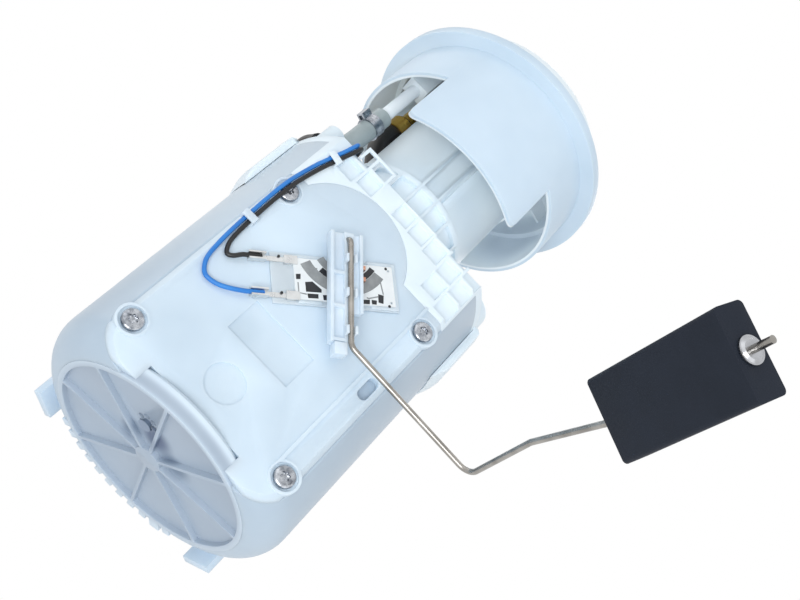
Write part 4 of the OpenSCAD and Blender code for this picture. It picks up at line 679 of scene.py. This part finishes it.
studio = {
    "ambient": 0.65, "ambientTint": (0.93, 0.965, 1.0), "aim": (0, -0.02, 0.11),
    "floorSize": 6.0, "floorHigh": -0.0005, "floorShade": 0.9,
}
lamps = {
    "key": dict(place=(-0.95, -1.5, 0.5), size=1.3, power=2.5),
    "front": dict(place=(0.02, -1.2, -1.0), size=0.9, power=14),
    "fill": dict(place=(1.35, -0.85, -0.6), size=1.3, power=2.5),
    "top": dict(place=(0.3, 0.9, 1.9), size=1.6, power=8),
    "side": dict(place=(-1.7, 0.2, 0.9), size=1.3, power=4),
}


def areaLight(name, place, size, power):
    data = bpy.data.lights.new(name, "AREA")
    data.shape = "DISK"
    data.size = size
    data.energy = power
    lamp = bpy.data.objects.new(name, data)
    scene.collection.objects.link(lamp)
    aim = (Vector(studio["aim"]) - Vector(place)).normalized()
    lamp.matrix_world = Matrix.Translation(place) @ aim.to_track_quat("-Z", "Y").to_matrix().to_4x4()
    return lamp


for name, lamp in lamps.items():
    areaLight(name + "Lamp", **lamp)


# The world lights the object with a dim tint, while the camera, metals and clear parts see plain white


def makeWorld():
    world = bpy.data.worlds.new("paleStudio")
    scene.world = world
    world.use_nodes = True
    tree = world.node_tree
    tree.nodes.clear()
    out = addNode(tree, "ShaderNodeOutputWorld", (600, 0))
    path = addNode(tree, "ShaderNodeLightPath", (-600, 200))
    seen = addNode(tree, "ShaderNodeMath", (-350, 200), operation="MAXIMUM")
    shown = addNode(tree, "ShaderNodeMath", (-150, 200), operation="MAXIMUM")
    plain = addNode(tree, "ShaderNodeBackground", (0, -50))
    plain.inputs["Color"].default_value = (*studio["ambientTint"], 1)
    plain.inputs["Strength"].default_value = studio["ambient"]
    white = addNode(tree, "ShaderNodeBackground", (0, -200))
    white.inputs["Color"].default_value = (1, 1, 1, 1)
    white.inputs["Strength"].default_value = 1
    mix = addNode(tree, "ShaderNodeMixShader", (300, 0))
    joinNodes(tree, (path.outputs["Is Camera Ray"], seen.inputs[0]), (path.outputs["Is Glossy Ray"], seen.inputs[1]),
              (seen.outputs[0], shown.inputs[0]), (path.outputs["Is Transmission Ray"], shown.inputs[1]),
              (shown.outputs[0], mix.inputs["Fac"]), (plain.outputs[0], mix.inputs[1]),
              (white.outputs[0], mix.inputs[2]), (mix.outputs[0], out.inputs["Surface"]))


# The floor is seen by the camera from above only, and lets all other light through


def makeFloor():
    half = studio["floorSize"] / 2
    z = studio["floorHigh"]
    mesh = bpy.data.meshes.new("paleFloor")
    mesh.from_pydata([(-half, -half, z), (half, -half, z), (half, half, z), (-half, half, z)], [], [(0, 1, 2, 3)])
    floor = bpy.data.objects.new("paleFloor", mesh)
    scene.collection.objects.link(floor)
    material = bpy.data.materials.new("paleFloor")
    material.use_nodes = True
    tree = material.node_tree
    tree.nodes.clear()
    out = addNode(tree, "ShaderNodeOutputMaterial", (600, 0))
    path = addNode(tree, "ShaderNodeLightPath", (-600, 200))
    side = addNode(tree, "ShaderNodeNewGeometry", (-600, -100))
    front = addNode(tree, "ShaderNodeMath", (-350, -100), operation="SUBTRACT")
    front.inputs[0].default_value = 1
    shown = addNode(tree, "ShaderNodeMath", (-150, 100), operation="MULTIPLY")
    clear = addNode(tree, "ShaderNodeBsdfTransparent", (0, 200))
    pale = addNode(tree, "ShaderNodeBsdfDiffuse", (0, -100))
    pale.inputs["Color"].default_value = (*[studio["floorShade"]] * 3, 1)
    mix = addNode(tree, "ShaderNodeMixShader", (300, 0))
    joinNodes(tree, (side.outputs["Backfacing"], front.inputs[1]), (path.outputs["Is Camera Ray"], shown.inputs[0]),
              (front.outputs[0], shown.inputs[1]), (shown.outputs[0], mix.inputs["Fac"]),
              (clear.outputs[0], mix.inputs[1]), (pale.outputs[0], mix.inputs[2]),
              (mix.outputs[0], out.inputs["Surface"]))
    mesh.materials.append(material)
    return floor


makeWorld()
makeFloor()
print("studio ready")
